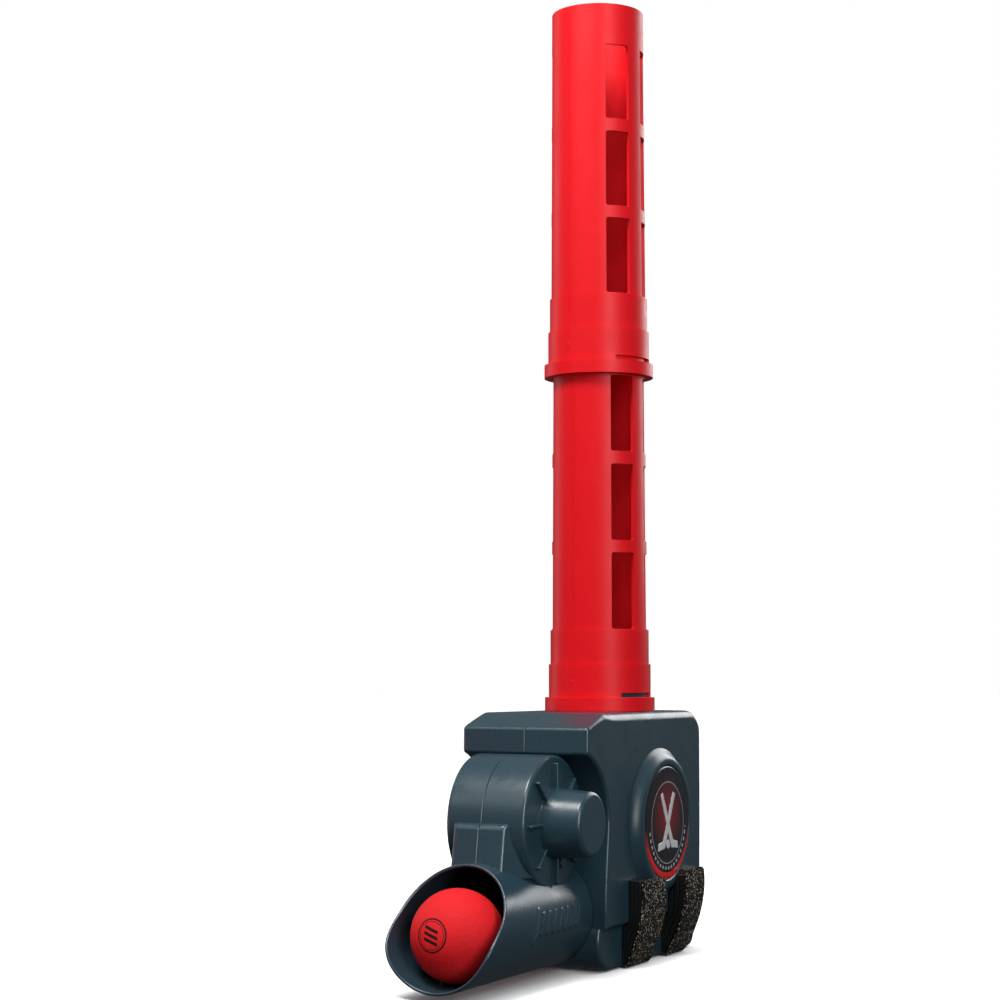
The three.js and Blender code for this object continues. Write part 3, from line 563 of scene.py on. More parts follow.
def turned(profile, axis, centre, steps=96):
    """A closed (radius, along) profile revolved about axis 'X' or 'Z' through centre."""
    rings = []
    for k in range(steps):
        a = 2 * math.pi * k / steps
        ring = []
        for radius, along in profile:
            if axis == "X":
                ring.append((along, centre[0] + radius * math.cos(a), centre[1] + radius * math.sin(a)))
            else:
                ring.append((centre[0] + radius * math.cos(a), centre[1] + radius * math.sin(a), along))
        rings.append(ring)
    rings.append(rings[0])
    verts, faces = loft(rings, caps=False)
    return merged(verts, faces)


def merged(verts, faces):
    """The same mesh with doubled vertices joined and collapsed faces dropped."""
    bm = bmesh.new()
    points = [bm.verts.new(v) for v in verts]
    for face in faces:
        corners = [points[i] for i in face]
        if len(set(corners)) > 2:
            bm.faces.new(corners)
    bmesh.ops.remove_doubles(bm, verts=bm.verts, dist=1e-4)
    bmesh.ops.dissolve_degenerate(bm, edges=bm.edges, dist=1e-5)
    bm.verts.ensure_lookup_table()
    bm.verts.index_update()
    out = [tuple(v.co) for v in bm.verts], [tuple(v.index for v in f.verts) for f in bm.faces]
    bm.free()
    return out


def bmesh_object(name, bm):
    """A mesh object made from bm, which is freed."""
    mesh = bpy.data.meshes.new(name)
    bm.to_mesh(mesh)
    bm.free()
    obj = bpy.data.objects.new(name, mesh)
    bpy.context.scene.collection.objects.link(obj)
    return obj


def raw_object(name, verts, faces):
    """A mesh object still in millimetres, with its faces pointing out."""
    mesh = bpy.data.meshes.new(name)
    mesh.from_pydata([tuple(v) for v in verts], [], faces)
    bm = bmesh.new()
    bm.from_mesh(mesh)
    bmesh.ops.recalc_face_normals(bm, faces=bm.faces)
    bm.to_mesh(mesh)
    bm.free()
    obj = bpy.data.objects.new(name, mesh)
    bpy.context.scene.collection.objects.link(obj)
    return obj


def apply_modifiers(obj):
    bpy.context.view_layer.update()
    graph = bpy.context.evaluated_depsgraph_get()
    mesh = bpy.data.meshes.new_from_object(obj.evaluated_get(graph))
    obj.modifiers.clear()
    old = obj.data
    obj.data = mesh
    bpy.data.meshes.remove(old)


def combine(target, tools, operation):
    """Joins, cuts or intersects target with each tool, and removes the tools."""
    for tool in tools:
        modifier = target.modifiers.new("bool", "BOOLEAN")
        modifier.object = tool
        modifier.operation = operation
        modifier.solver = "EXACT"
        apply_modifiers(target)
        mesh = tool.data
        bpy.data.objects.remove(tool)
        bpy.data.meshes.remove(mesh)
        if not target.data.vertices:
            raise RuntimeError(f"{operation} left nothing of {target.name}")
    return target


def box_object(low, high, bevel=0.0):
    """A box between two corners, with rounded edges where a bevel is given."""
    bm = bmesh.new()
    bmesh.ops.create_cube(bm, size=1)
    low, high = Vector(low), Vector(high)
    for v in bm.verts:
        v.co = Vector(low[i] + (v.co[i] + 0.5) * (high[i] - low[i]) for i in range(3))
    if bevel:
        bmesh.ops.bevel(bm, geom=bm.edges, offset=bevel, segments=3, affect="EDGES", profile=0.5)
    return bmesh_object("box", bm)


def mirrored(obj):
    """The same piece for the other hand."""
    obj.data.transform(Matrix.Scale(-1, 4, (1, 0, 0)))
    obj.data.flip_normals()
    return obj


def rod_object(x0, x1, y, z, radius, steps=64):
    """A rod along x."""
    profile = [(0, x0), (radius, x0), (radius, x1), (0, x1)]
    return raw_object("rod", *turned(profile, "X", (y, z), steps))


def rod_y_object(y0, y1, z, radius, steps=96):
    """A rod along y, on the middle plane."""
    rings = []
    for y in (y0, y1):
        ring = []
        for k in range(steps):
            a = 2 * math.pi * k / steps
            ring.append((radius * math.cos(a), y, z + radius * math.sin(a)))
        rings.append(ring)
    return raw_object("rod", *loft(rings))


def soften_edges(obj, width, segments=2, angle=40):
    """Rounds every edge sharper than the angle."""
    bm = bmesh.new()
    bm.from_mesh(obj.data)
    sharp = [e for e in bm.edges if len(e.link_faces) == 2 and e.calc_face_angle() > math.radians(angle)]
    bmesh.ops.bevel(bm, geom=sharp, offset=width, segments=segments, affect="EDGES", profile=0.5,
                    clamp_overlap=True)
    bm.to_mesh(obj.data)
    bm.free()


def cleaned(obj):
    """Joins doubled vertices, drops collapsed and doubled faces, and closes pinholes left by the cuts."""
    bm = bmesh.new()
    bm.from_mesh(obj.data)
    bmesh.ops.remove_doubles(bm, verts=bm.verts, dist=CLEAN_REACH)
    bmesh.ops.dissolve_degenerate(bm, edges=bm.edges, dist=CLEAN_REACH)
    by_corners = {}
    for face in bm.faces:
        by_corners.setdefault(frozenset(face.verts), []).append(face)
    doubled = []
    for group in by_corners.values():
        alone = all(len(edge.link_faces) == len(group) for edge in group[0].edges)
        doubled += group if alone and len(group) > 1 else group[1:]
    bmesh.ops.delete(bm, geom=doubled, context="FACES")
    bmesh.ops.holes_fill(bm, edges=bm.edges, sides=8)
    stray = [v for v in bm.verts if not v.link_faces]
    bmesh.ops.delete(bm, geom=stray, context="VERTS")
    bm.to_mesh(obj.data)
    bm.free()


def finish_piece(obj, name, slot_name, body, replaces=(), material=None, angle=35, weighted=True):
    """Scales a piece to metres, shades it, and hands it to the frame."""
    cleaned(obj)
    obj.name = name
    mesh = obj.data
    mesh.name = name
    mesh.transform(Matrix.Scale(0.001, 4))
    mesh.materials.clear()
    mesh.materials.append(material or MATERIALS[slot_name])
    for polygon in mesh.polygons:
        polygon.material_index = 0
        polygon.use_smooth = True
    mesh.set_sharp_from_angle(angle=math.radians(angle))
    if weighted:
        modifier = obj.modifiers.new("weighted", "WEIGHTED_NORMAL")
        modifier.keep_sharp = True
        modifier.weight = 100
    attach(obj, body)
    if replaces:
        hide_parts(*replaces)
    return obj


# ---------- ball tubes ----------
def tube_angles():
    """Steps round the tube in degrees from its front, with one on every edge of a window or slit."""
    edges = {s * a for column in WINDOW_COLUMNS + [SLIT_COLUMN] for a in column for s in (-1, 1)}
    marks = sorted(edges | {0, 180})
    angles = []
    for a, b in zip(marks, marks[1:] + [marks[0] + 360]):
        steps = max(1, round((b - a) / 5))
        angles += [a + (b - a) * i / steps for i in range(steps)]
    return angles


def tube_rows():
    """The wall from foot to top, as (outer radius, outer height, inner radius, inner height)."""
    rows = [
        (COLLAR_R, 0.0, SOCKET_R, 0.0),
        (COLLAR_R, 4.5, SOCKET_R, 4.5),
        (COLLAR_R, 8.9, SOCKET_R, 8.6),
        (SLEEVE_R, 8.9, SOCKET_R, 8.9),
        (SLEEVE_R, SLIT_ROW[0], SOCKET_R, SLIT_ROW[0]),
        (SLEEVE_R, SLIT_ROW[1], SOCKET_R, SLIT_ROW[1]),
        (SLEEVE_R, 22.0, SOCKET_R, 22.0),
        (SLEEVE_R, 31.6, SOCKET_R, 27.6),
        (SHOULDER_R, 31.6, BORE_R, 28.6),
        (SHOULDER_R, 43.0, BORE_R, 43.0),
        (SHOULDER_R, RUN_FOOT, BORE_R, RUN_FOOT - 1),
        (TUBE_R + 0.02, RUN_FOOT, BORE_R, RUN_FOOT),
        (TUBE_R, WINDOW_ROWS[0][0], BORE_R, WINDOW_ROWS[0][0]),
    ]
    for height in (81.5, 107.6, 116, 142, 168, 176.8, 203, 228.8, 243, TUBE_TOP):
        share = (height - RUN_FOOT) / (TUBE_TOP - RUN_FOOT)
        outside = TUBE_R - (TUBE_R - TUBE_END_R) * share
        inside = BORE_R - (BORE_R - BORE_END_R) * share
        rows.append((outside, height, inside, height))
    return rows


def is_tube_opening(angle, height):
    """True where a window or slit leaves out the wall, at an angle from the front."""
    turn = abs((angle + 180) % 360 - 180)
    in_column = any(low < turn < high for low, high in WINDOW_COLUMNS)
    in_row = any(low < height < high for low, high in WINDOW_ROWS)
    in_slit = SLIT_COLUMN[0] < turn < SLIT_COLUMN[1] and SLIT_ROW[0] < height < SLIT_ROW[1]
    return in_column and in_row or in_slit


def tube_wall():
    """One tube section as a grid of cells round and up, with cells left out for windows and slits."""
    angles = tube_angles()
    rows = tube_rows()
    count = len(angles)
    verts = []
    for row in rows:
        for r, z in (row[:2], row[2:]):
            for a in angles:
                t = math.radians(a)
                verts.append((r * math.sin(t), -r * math.cos(t), z))
    faces = []

    def add_face(*corners):
        faces.append(tuple((j * 2 + layer) * count + i % count for j, layer, i in corners))

    def is_open(j, i):
        if j < 0 or j >= len(rows) - 1:
            return True
        a0 = angles[i % count]
        a1 = angles[(i + 1) % count] + (360 if i % count == count - 1 else 0)
        return is_tube_opening((a0 + a1) / 2, (rows[j][1] + rows[j + 1][1]) / 2)

    for j in range(len(rows) - 1):
        for i in range(count):
            if is_open(j, i):
                continue
            add_face((j, 0, i), (j, 0, i + 1), (j + 1, 0, i + 1), (j + 1, 0, i))
            add_face((j, 1, i + 1), (j, 1, i), (j + 1, 1, i), (j + 1, 1, i + 1))
            if is_open(j - 1, i):
                add_face((j, 1, i), (j, 1, i + 1), (j, 0, i + 1), (j, 0, i))
            if is_open(j + 1, i):
                add_face((j + 1, 0, i), (j + 1, 0, i + 1), (j + 1, 1, i + 1), (j + 1, 1, i))
            if is_open(j, i - 1):
                add_face((j, 0, i), (j + 1, 0, i), (j + 1, 1, i), (j, 1, i))
            if is_open(j, i + 1):
                add_face((j, 0, i + 1), (j, 1, i + 1), (j + 1, 1, i + 1), (j + 1, 0, i + 1))
    return raw_object("tube", verts, faces)


def round_window_corners(obj):
    """Drops unused vertices and rounds the corners of the windows."""
    bm = bmesh.new()
    bm.from_mesh(obj.data)
    bmesh.ops.delete(bm, geom=[v for v in bm.verts if not v.link_faces], context="VERTS")
    corners = []
    for edge in bm.edges:
        a, b = (v.co for v in edge.verts)
        radial = abs(math.hypot(a.x, a.y) - math.hypot(b.x, b.y)) > 1
        in_run = abs(a.z - b.z) < 0.8 and a.z > 50
        if radial and in_run and edge.calc_face_angle(0) > math.radians(60):
            corners.append(edge)
    bmesh.ops.bevel(bm, geom=corners, offset=WINDOW_CORNER_R, segments=4, affect="EDGES", profile=0.5,
                    clamp_overlap=True)
    bm.to_mesh(obj.data)
    bm.free()


def tube_piece(level):
    obj = tube_wall()
    round_window_corners(obj)
    soften_edges(obj, 0.4, 2, 38)
    ribs = [
        seam_rib(SLEEVE_R, SLEEVE_R, 9.6, 31.2),
        seam_rib(SHOULDER_R, SHOULDER_R, 32, 54.6),
        seam_rib(TUBE_R, TUBE_END_R, 56, TUBE_TOP - 2),
    ]
    combine(obj, ribs + [seam_nub()], "UNION")
    obj.data.transform(Matrix.Rotation(math.radians(TUBE_TWISTS[level]), 4, "Z"))
    obj.data.transform(Matrix.Translation((0, TUBE_Y, TUBE_BASES[level])))
    name = ("tube_lower", "tube_upper")[level]
    body = ("lower_tube", "upper_tube")[level]
    return finish_piece(obj, name + "_moulding", "red_plastic", body, [name])


def seam_rib(r0, r1, z0, z1):
    """The fine raised line of the mould's seam up the front, between two heights."""
    rings = []
    for r, z in ((r0 - 0.2, z0), (r0, z0 + 0.3), (r1, z1 - 0.3), (r1 - 0.2, z1)):
        rings.append([(-0.4, -r + 0.7, z), (-0.3, -r - 0.2, z), (0.3, -r - 0.2, z), (0.4, -r + 0.7, z)])
    return raw_object("seam", *loft(rings))


def seam_nub():
    """The small gate mark on the sleeve's seam."""
    bm = bmesh.new()
    bmesh.ops.create_uvsphere(bm, u_segments=16, v_segments=10, radius=1.0)
    for v in bm.verts:
        v.co = Vector((v.co.x * 1.1, -35.0 + v.co.y * 0.55, 20 + v.co.z * 1.7))
    return bmesh_object("nub", bm)


# ---------- housing, built for the right hand and mirrored for the left ----------
def arc(cy, cz, radius, start, end, steps):
    """Points round a centre in the (y, z) plane, between two angles in degrees."""
    out = []
    for k in range(steps + 1):
        a = math.radians(start + (end - start) * k / steps)
        out.append((cy + radius * math.cos(a), cz + radius * math.sin(a)))
    return out


def filleted(corners, steps=7):
    """A closed outline from (y, z, radius) corners, each rounded by its own radius."""
    out = []
    for i, (y, z, radius) in enumerate(corners):
        if not radius:
            out.append((y, z))
            continue
        here = Vector((y, z))
        before = (Vector(corners[i - 1][:2]) - here).normalized()
        after = (Vector(corners[(i + 1) % len(corners)][:2]) - here).normalized()
        half = before.angle(after) / 2
        centre = here + (before + after).normalized() * (radius / math.sin(half))
        start = here + before * (radius / math.tan(half)) - centre
        end = here + after * (radius / math.tan(half)) - centre
        sweep = math.atan2(start.x * end.y - start.y * end.x, start.dot(end))
        for k in range(steps + 1):
            c, s = math.cos(sweep * k / steps), math.sin(sweep * k / steps)
            out.append((centre.x + start.x * c - start.y * s, centre.y + start.x * s + start.y * c))
    return out


def resampled(points, step):
    """A closed outline with its long straight runs divided, so that shading stays even."""
    out = []
    for (y0, z0), (y1, z1) in zip(points, points[1:] + points[:1]):
        pieces = max(1, int(math.hypot(y1 - y0, z1 - z0) / step))
        out += [(y0 + (y1 - y0) * i / pieces, z0 + (z1 - z0) * i / pieces) for i in range(pieces)]
    return out


def panel_outline(soft=1):
    """The side panel with the visor over the drum and the round recess; soft=0 leaves corners sharp."""
    lip = math.degrees(math.acos((VISOR_LIP_Y - RECESS_Y) / RECESS_R))
    lip_z = RECESS_Z + RECESS_R * math.sin(math.radians(lip))
    ys, zs = zip(*FRONT_EDGE)
    front = np.polynomial.Polynomial.fit(zs, ys, 3)
    corners = [
        (BODY_FRONT, LEDGE_Z, 0),
        (BODY_BACK_LOW, LEDGE_Z, 0),
        (BODY_BACK, 90, 0),
        (BODY_BACK, BODY_TOP_BACK, 15),
        (-7.5, BODY_TOP_FRONT, 12 * soft),
        (*VISOR_TIP, 3 * soft),
        (VISOR_LIP_Y, lip_z, 2.6 * soft),
    ]
    corners += [(y, z, 0) for y, z in arc(RECESS_Y, RECESS_Z, RECESS_R, lip - 8, 0, 36)]
    corners += [(float(front(z)), z, 0) for z in np.linspace(RECESS_Z - 5, LEDGE_Z + 5, 13)]
    return resampled(filleted(corners), 6)


def skirt_outline():
    """The narrower skirt under the ledge, with its round toe bulging in front of the panel."""
    toe_z = BODY_BOTTOM + TOE_R
    start = 180 - math.degrees(math.asin((LEDGE_Z - toe_z) / TOE_R))
    points = [(BODY_BACK_LOW, LEDGE_Z + SKIRT_LAP), (BODY_FRONT, LEDGE_Z + SKIRT_LAP)]
    points += arc(TOE_Y, toe_z, TOE_R, start, 270, 24)
    points += arc(BODY_BACK_LOW - 9, BODY_BOTTOM + 9, 9, 270, 360, 12)
    return resampled(points, 6)


def inward(points):
    """Vectors into a closed outline, one for each vertex, scaled to keep walls parallel."""
    pts = np.array(points)
    before = np.roll(pts, 1, axis=0)
    after = np.roll(pts, -1, axis=0)
    area = np.sum(pts[:, 0] * after[:, 1] - after[:, 0] * pts[:, 1]) / 2
    turn = 1 if area > 0 else -1

    def normal(d):
        n = np.stack([-d[:, 1], d[:, 0]], axis=1) * turn
        return n / np.linalg.norm(n, axis=1, keepdims=True)

    n0, n1 = normal(pts - before), normal(after - pts)
    mid = n0 + n1
    mid /= np.linalg.norm(mid, axis=1, keepdims=True)
    return mid / np.clip(np.sum(mid * n0, axis=1, keepdims=True), 0.5, 1)


def carried(points, x):
    """A (y, z) outline placed at x."""
    return np.column_stack([np.full(len(points), x), points])


def smooth_step(value):
    """A rise from 0 to 1 that starts and ends level."""
    t = np.clip(value, 0, 1)
    return t * t * (3 - 2 * t)


def panel_radii(outline):
    """Edge radius at each vertex of the side panel: soft along the top, tight everywhere else."""
    y, z = np.array(outline).T
    near_top = smooth_step((z - 150) / 14)
    behind_visor = smooth_step((y + 25) / 35)
    return PANEL_EDGE_R + (PANEL_TOP_EDGE_R - PANEL_EDGE_R) * near_top * behind_visor


def housing_solid(outline, half, radii):
    """An outline carried from the parting plane to the side, with a chamfered seam and a rounded edge."""
    pts = np.array(outline)
    inner = inward(outline)
    radii = np.full(len(pts), radii)
    rings = [carried(pts + inner * CHAMFER, PARTING)]
    for x in np.linspace(PARTING + CHAMFER, half - radii.max() - 1, 8):
        rings.append(carried(pts, x))
    for turn in np.linspace(0, math.pi / 2, 8):
        offset = inner * radii[:, None] * (1 - math.cos(turn))
        rings.append(carried(pts + offset, half - radii * (1 - math.sin(turn))))
    return raw_object("housing", *loft(rings))


def panel_solid():
    outline = panel_outline()
    return housing_solid(outline, BODY_HALF, panel_radii(outline))


def hollow_solid(outline, half):
    """The room inside a moulding, a wall thickness in from its outline."""
    pts = np.array(outline)
    inner = inward(outline)
    rings = []
    for x, offset in ((-1, WALL), (half - WALL - 1, WALL), (half - WALL, WALL + 1)):
        rings.append(carried(pts + inner * offset, x))
    return raw_object("hollow", *loft(rings))


def badge_ring_object():
    """The raised surround of the round emblem, blending into the panel."""
    hole = BADGE_R + 0.35
    flare = [(50.6 - 8.4 * t, BODY_HALF + 6.1 * smooth_step(t)) for t in np.linspace(0.1, 0.97, 14)]
    crown = [(42.1, BADGE_FACE_X + 0.15), (41.2, BADGE_FACE_X + 0.3), (39.3, BADGE_FACE_X + 0.25)]
    lip = [(38.7, BADGE_FACE_X - 0.1), (hole, BADGE_FACE_X - 0.8), (hole, BADGE_BACK_X), (0, BADGE_BACK_X)]
    profile = [(0, 43.8), (49.9, 43.8)] + flare + crown + lip
    return raw_object("ring", *turned(profile, "X", BADGE_CENTRE[1:], 120))


def housing_half(hand):
    """One body shell; the left one also has the power switch's hole and the case screws' holes."""
    shell = panel_solid()
    combine(shell, [housing_solid(skirt_outline(), SKIRT_HALF, SKIRT_EDGE_R), badge_ring_object()], "UNION")
    rooms = [hollow_solid(panel_outline(soft=0), BODY_HALF), hollow_solid(skirt_outline(), SKIRT_HALF)]
    combine(shell, rooms, "DIFFERENCE")
    seat = rod_y_object(*NOZZLE_SEAT, NOZZLE_REAR_Z, NOZZLE_REAR_R + 1)
    combine(seat, [box_object((PARTING, -9, 0), (50, 9, 90))], "INTERSECT")
    combine(shell, [seat], "UNION")
    neck = [(0, NECK_CUT[0]), (NECK_HOLE_R, NECK_CUT[0]), (NECK_HOLE_R, NECK_CUT[1]), (0, NECK_CUT[1])]
    cuts = [
        raw_object("neck", *turned(neck, "Z", (0, TUBE_Y))),
        rod_y_object(-30, 20, SPIGOT_Z, SPIGOT_R + FIT_GAP),
        rod_y_object(-31, NOZZLE_REAR_Y + 0.3, NOZZLE_REAR_Z, NOZZLE_REAR_R + FIT_GAP),
        box_object((-DOOR_HALF - FIT_GAP, 148.5, DOOR_PIN_Z - DOOR_BARREL_R - FIT_GAP),
                   (DOOR_HALF + FIT_GAP, 170, DOOR_HIGH + FIT_GAP)),
    ]
    if hand == "left":
        cuts.append(box_object((40, SWITCH_Y - 9, SWITCH_Z - 5), (50, SWITCH_Y + 9, SWITCH_Z + 5)))
        for k in range(4):
            y, z = centre_mm(f"case_screw_{k + 1}")[1:]
            cuts.append(rod_object(36.4, 60, y, z, SCREW_HOLE_R, 32))
    combine(shell, cuts, "DIFFERENCE")
    if hand == "left":
        mirrored(shell)
    finish_piece(shell, f"body_{hand}_moulding", "slate_plastic", "housing", [f"body_shell_{hand}"])


# ---------- drum and nozzle head, built for the right hand ----------
def nozzle_radius(y):
    return NOZZLE_REAR_R + (MOUTH_R - NOZZLE_REAR_R) * (y - NOZZLE_REAR_Y) / (MOUTH_Y - NOZZLE_REAR_Y)


def mouth_front(z):
    """How far forward the mouth reaches at a height: upright below, sloping in the middle, steep above."""
    heights = [0, 18, 25, 31, 37, 43, 50, 55, 60, 66, 72, 77, 84]
    fronts = [0, 0, 1.2, 3.9, 8.5, 15.5, 22.8, 26.5, 30.5, 35, 39, 42.2, 46]
    nearby = np.interp(z + np.linspace(-4, 4, 9), heights, fronts)
    return MOUTH_Y + float(np.mean(nearby))


def nozzle_profile(sine):
    """A closed profile of (y, radius, centre height, outside share) through the nozzle and its spigot."""
    front = MOUTH_Y
    for _ in range(4):
        front = mouth_front(NOZZLE_BOTTOM + nozzle_radius(front) * (1 + sine))
    lip = HEAD_WALL / 2
    step_y = NOZZLE_REAR_Y - 2.2
    points = []
    for y in np.linspace(NOZZLE_REAR_Y, front + lip, 30):
        points.append((y, nozzle_radius(y), NOZZLE_BOTTOM + nozzle_radius(y), 1.0))
    for a in np.linspace(0, math.pi, 10)[1:-1]:
        y = front + lip - lip * math.sin(a)
        radius = nozzle_radius(y)
        outside = max(0, math.cos(a))
        points.append((y, radius - lip * (1 - math.cos(a)), NOZZLE_BOTTOM + radius, outside))
    for y in np.linspace(front + lip, step_y, 30):
        points.append((y, nozzle_radius(y) - HEAD_WALL, NOZZLE_BOTTOM + nozzle_radius(y), 0.0))
    inside = [(step_y, SPIGOT_BORE_R), (SPIGOT_END_Y, SPIGOT_BORE_R)]
    outside = [(SPIGOT_END_Y, SPIGOT_R), (NOZZLE_REAR_Y, SPIGOT_R)]
    return points + [(y, radius, SPIGOT_Z, 0.0) for y, radius in inside + outside]


def nozzle_shell():
    """Half of the flared nozzle with its rounded rim, as one swept wall."""
    edge = math.degrees(math.acos((PARTING + CHAMFER) / MOUTH_R))
    columns = []
    for turn in np.linspace(-edge, edge, 81):
        c, s = math.cos(math.radians(turn)), math.sin(math.radians(turn))
        columns.append([(r * c, y, zc + r * s) for y, r, zc, _ in nozzle_profile(s)])
    for sine, place in ((-1, 0), (1, len(columns) + 1)):
        column = []
        for y, r, zc, outside in nozzle_profile(sine):
            column.append((PARTING, y, zc + (r - CHAMFER * outside) * sine))
        columns.insert(place, column)
    return raw_object("nozzle", *loft(columns))


def nozzle_core():
    """The room inside the nozzle out to the middle of its wall, for clearing the drum out of it."""
    rings = []
    for y in (-112.0, NOZZLE_REAR_Y - 1.2):
        outside = nozzle_radius(y)
        r = outside - HEAD_WALL / 2
        ring = []
        for a in np.linspace(-math.pi, math.pi, 121)[:-1]:
            ring.append((r * math.cos(a), y, NOZZLE_BOTTOM + outside + r * math.sin(a)))
        rings.append(ring)
    return raw_object("core", *loft(rings))


def drum_solid(hand, inset=0.0):
    """Half of the wheel's drum, with a rounded rim, or the room inside it."""
    half = DRUM_HALVES[hand] - inset
    r = DRUM_R - inset
    edge = 1.0 if inset else 2.6
    profile = [(0, half)]
    for a in np.linspace(0, math.pi / 2, 9):
        profile.append((r - edge + edge * math.sin(a), half - edge + edge * math.cos(a)))
    if inset:
        profile += [(r, -1.0), (0, -1.0)]
    else:
        profile += [(r, PARTING + CHAMFER), (r - CHAMFER, PARTING), (0, PARTING)]
    return raw_object("drum", *turned(profile, "X", (DRUM_Y, DRUM_Z), 144))


def pod_solid():
    """The motor's round pod, with a softly rounded end."""
    face = DRUM_HALVES["right"]
    soft = 3.0
    profile = [(0, face - 1.5), (23, face - 1.5), (22.4, face + 0.2), (21.9, face + 1.2)]
    for a in np.linspace(0, math.pi / 2, 11):
        profile.append((POD_R - soft + soft * math.cos(a), POD_END_X - soft + soft * math.sin(a)))
    return raw_object("pod", *turned(profile + [(0, POD_END_X)], "X", (DRUM_Y, DRUM_Z)))


def drum_rib(k):
    """One of eight radial ribs with rounded ends on the drum's face."""
    face = DRUM_HALVES["right"]
    rib = box_object((face - 1.2, -FACE_RIB_HALF, FACE_RIB_FROM_R),
                     (face + FACE_RIB_HEIGHT, FACE_RIB_HALF, FACE_RIB_TO_R), 0.75)
    rib.data.transform(Matrix.Rotation(math.pi * k / 4, 4, "X"))
    rib.data.transform(Matrix.Translation((0, DRUM_Y, DRUM_Z)))
    return rib


def block_solid(hand):
    """The block on top of the nozzle: a rounded upper front edge, and sides that spread to the drum."""
    low, high = 66, 100.8
    front_low, front_high = -102.2, -96.4
    corners = [(-76, low, 0), (-76, high, 0), (front_high, high, 5), (front_low, low, 0)]
    block = housing_solid(filleted(corners, 9), BLOCK_HALF, 1.6)
    for v in block.data.vertices:
        front = front_low + (front_high - front_low) * (v.co.z - low) / (high - low)
        width = min(BLOCK_HALF + BLOCK_SPREAD * (v.co.y - front), DRUM_HALVES[hand] - 0.6)
        v.co.x = PARTING + (v.co.x - PARTING) * width / BLOCK_HALF
    return block


def face_boss():
    """The small screw boss on the drum's right face, below the pod."""
    face = DRUM_HALVES["right"]
    boss = rod_object(face - 1, face + 2.6, DRUM_Y + 8, DRUM_Z - 25, 3.6, 32)
    soften_edges(boss, 0.5, 3)
    return boss


def head_half(hand):
    """One drum and nozzle half; the pod, ribs and boss are on the right, the screw's hole on the left."""
    shell = drum_solid(hand)
    joins = [block_solid(hand)]
    if hand == "right":
        joins += [pod_solid(), face_boss()] + [drum_rib(k) for k in range(8)]
    combine(shell, joins, "UNION")
    combine(shell, [nozzle_core()], "DIFFERENCE")
    combine(shell, [nozzle_shell()], "UNION")
    cuts = [drum_solid(hand, HEAD_WALL)]
    if hand == "right":
        cuts.append(rod_object(20, POD_END_X - HEAD_WALL, DRUM_Y, DRUM_Z, POD_R - 3))
    else:
        y, z = centre_mm("head_screw")[1:]
        cuts.append(rod_object(13, 40, y, z, SCREW_HOLE_R, 32))
    combine(shell, cuts, "DIFFERENCE")
    combine(shell, [box_object(*BALL_RAIL, 0.3)], "UNION")
    if hand == "left":
        mirrored(shell)
    finish_piece(shell, f"head_{hand}_moulding", "slate_plastic", "housing", [f"head_shell_{hand}"],
                 angle=32)


# ---------- small visible pieces ----------
def foam_outline(bulge, top):
    """The foam sheet's section: down the outside, under the housing, and back up the inside."""
    outer = [(56.3 + bulge, top), (57.1 + bulge, 45), (54.6 + bulge * 0.8, 27), (49.6 + bulge * 0.5, 12),
             (46.2 + bulge * 0.2, 4), (43.7, 0.02), (40.5, 0.02)]
    inner = [(40.5, 1.5), (42.6, 1.9), (44.4 + bulge * 0.2, 5.4), (47.8 + bulge * 0.5, 13),
             (52.4 + bulge * 0.8, 27.8), (55 + bulge, 45), (54.2 + bulge, top)]
    return resampled(softened(outer) + softened(inner), 0.9)


def pad_layers(bulge, y0, y1, top):
    """The three layers of a pad's backing."""
    verts, faces = [], []
    for k in range(3):
        band = layer_outline(bulge, top - 0.4 * k, k / 3 + 0.02, (k + 1) / 3 - 0.02)
        ring_verts, ring_faces = pad_rings(band, y0 + 0.1, y1 - 0.5, 0.5, 12)
        faces += [tuple(i + len(verts) for i in face) for face in ring_faces]
        verts += ring_verts
    return raw_object("layers", verts, faces)


def foot_pad(end, hand):
    """A foot pad: a layered backing against the panel, and a foam sheet outside that tucks under."""
    stem = f"{end}_pad_{hand}"
    low, high = box_mm(stem + "_foam")
    bulge = max(abs(low[0]), abs(high[0])) - PAD_X
    y0, y1, top = low[1], high[1], high[2]
    foam = raw_object("pad", *pad_rings(foam_outline(bulge, top), y0, y1, 0.8, int(y1 - y0)))
    combine(foam, [pad_profile(y0, y1, top, 5)], "INTERSECT")
    combine(foam, [badge_clearance()], "DIFFERENCE")
    roughen(foam, 0.3, 1.1, y0 + 1, y1 - 1)
    layers = pad_layers(bulge, y0, y1, top)
    combine(layers, [badge_keepout(), badge_clearance()], "DIFFERENCE")
    if hand == "left":
        mirrored(foam)
        mirrored(layers)
    piece = finish_piece(foam, stem + "_face", "black_foam", "housing", [stem + "_foam"], angle=80,
                         weighted=False)
    finish_piece(layers, stem + "_layers", "black_plastic", "housing", [stem + "_backing"], angle=40)


def badge_clearance():
    """The room in front of the printed disc."""
    return rod_object(40, 80, *BADGE_CENTRE[1:], BADGE_R + 1.0, 96)


def pad_profile(y0, y1, top, radius):
    """The pad's outline seen from the side, with its upper corners rounded."""
    y0, y1, top = y0 - 0.06, y1 + 0.06, top + 0.06
    corners = [(y0, -4, 0), (y1, -4, 0), (y1, top, radius), (y0, top, radius * 0.4)]
    pts = np.array(filleted(corners, 9))
    return raw_object("profile", *loft([carried(pts, 30), carried(pts, 75)]))


def badge_keepout():
    """The room that the badge's raised surround takes up."""
    profile = [(0, 44), (51.2, 44), (50.6, 46.2), (46.8, 49.3), (42.6, 51.7), (0, 52)]
    return raw_object("keepout", *turned(profile, "X", BADGE_CENTRE[1:], 96))


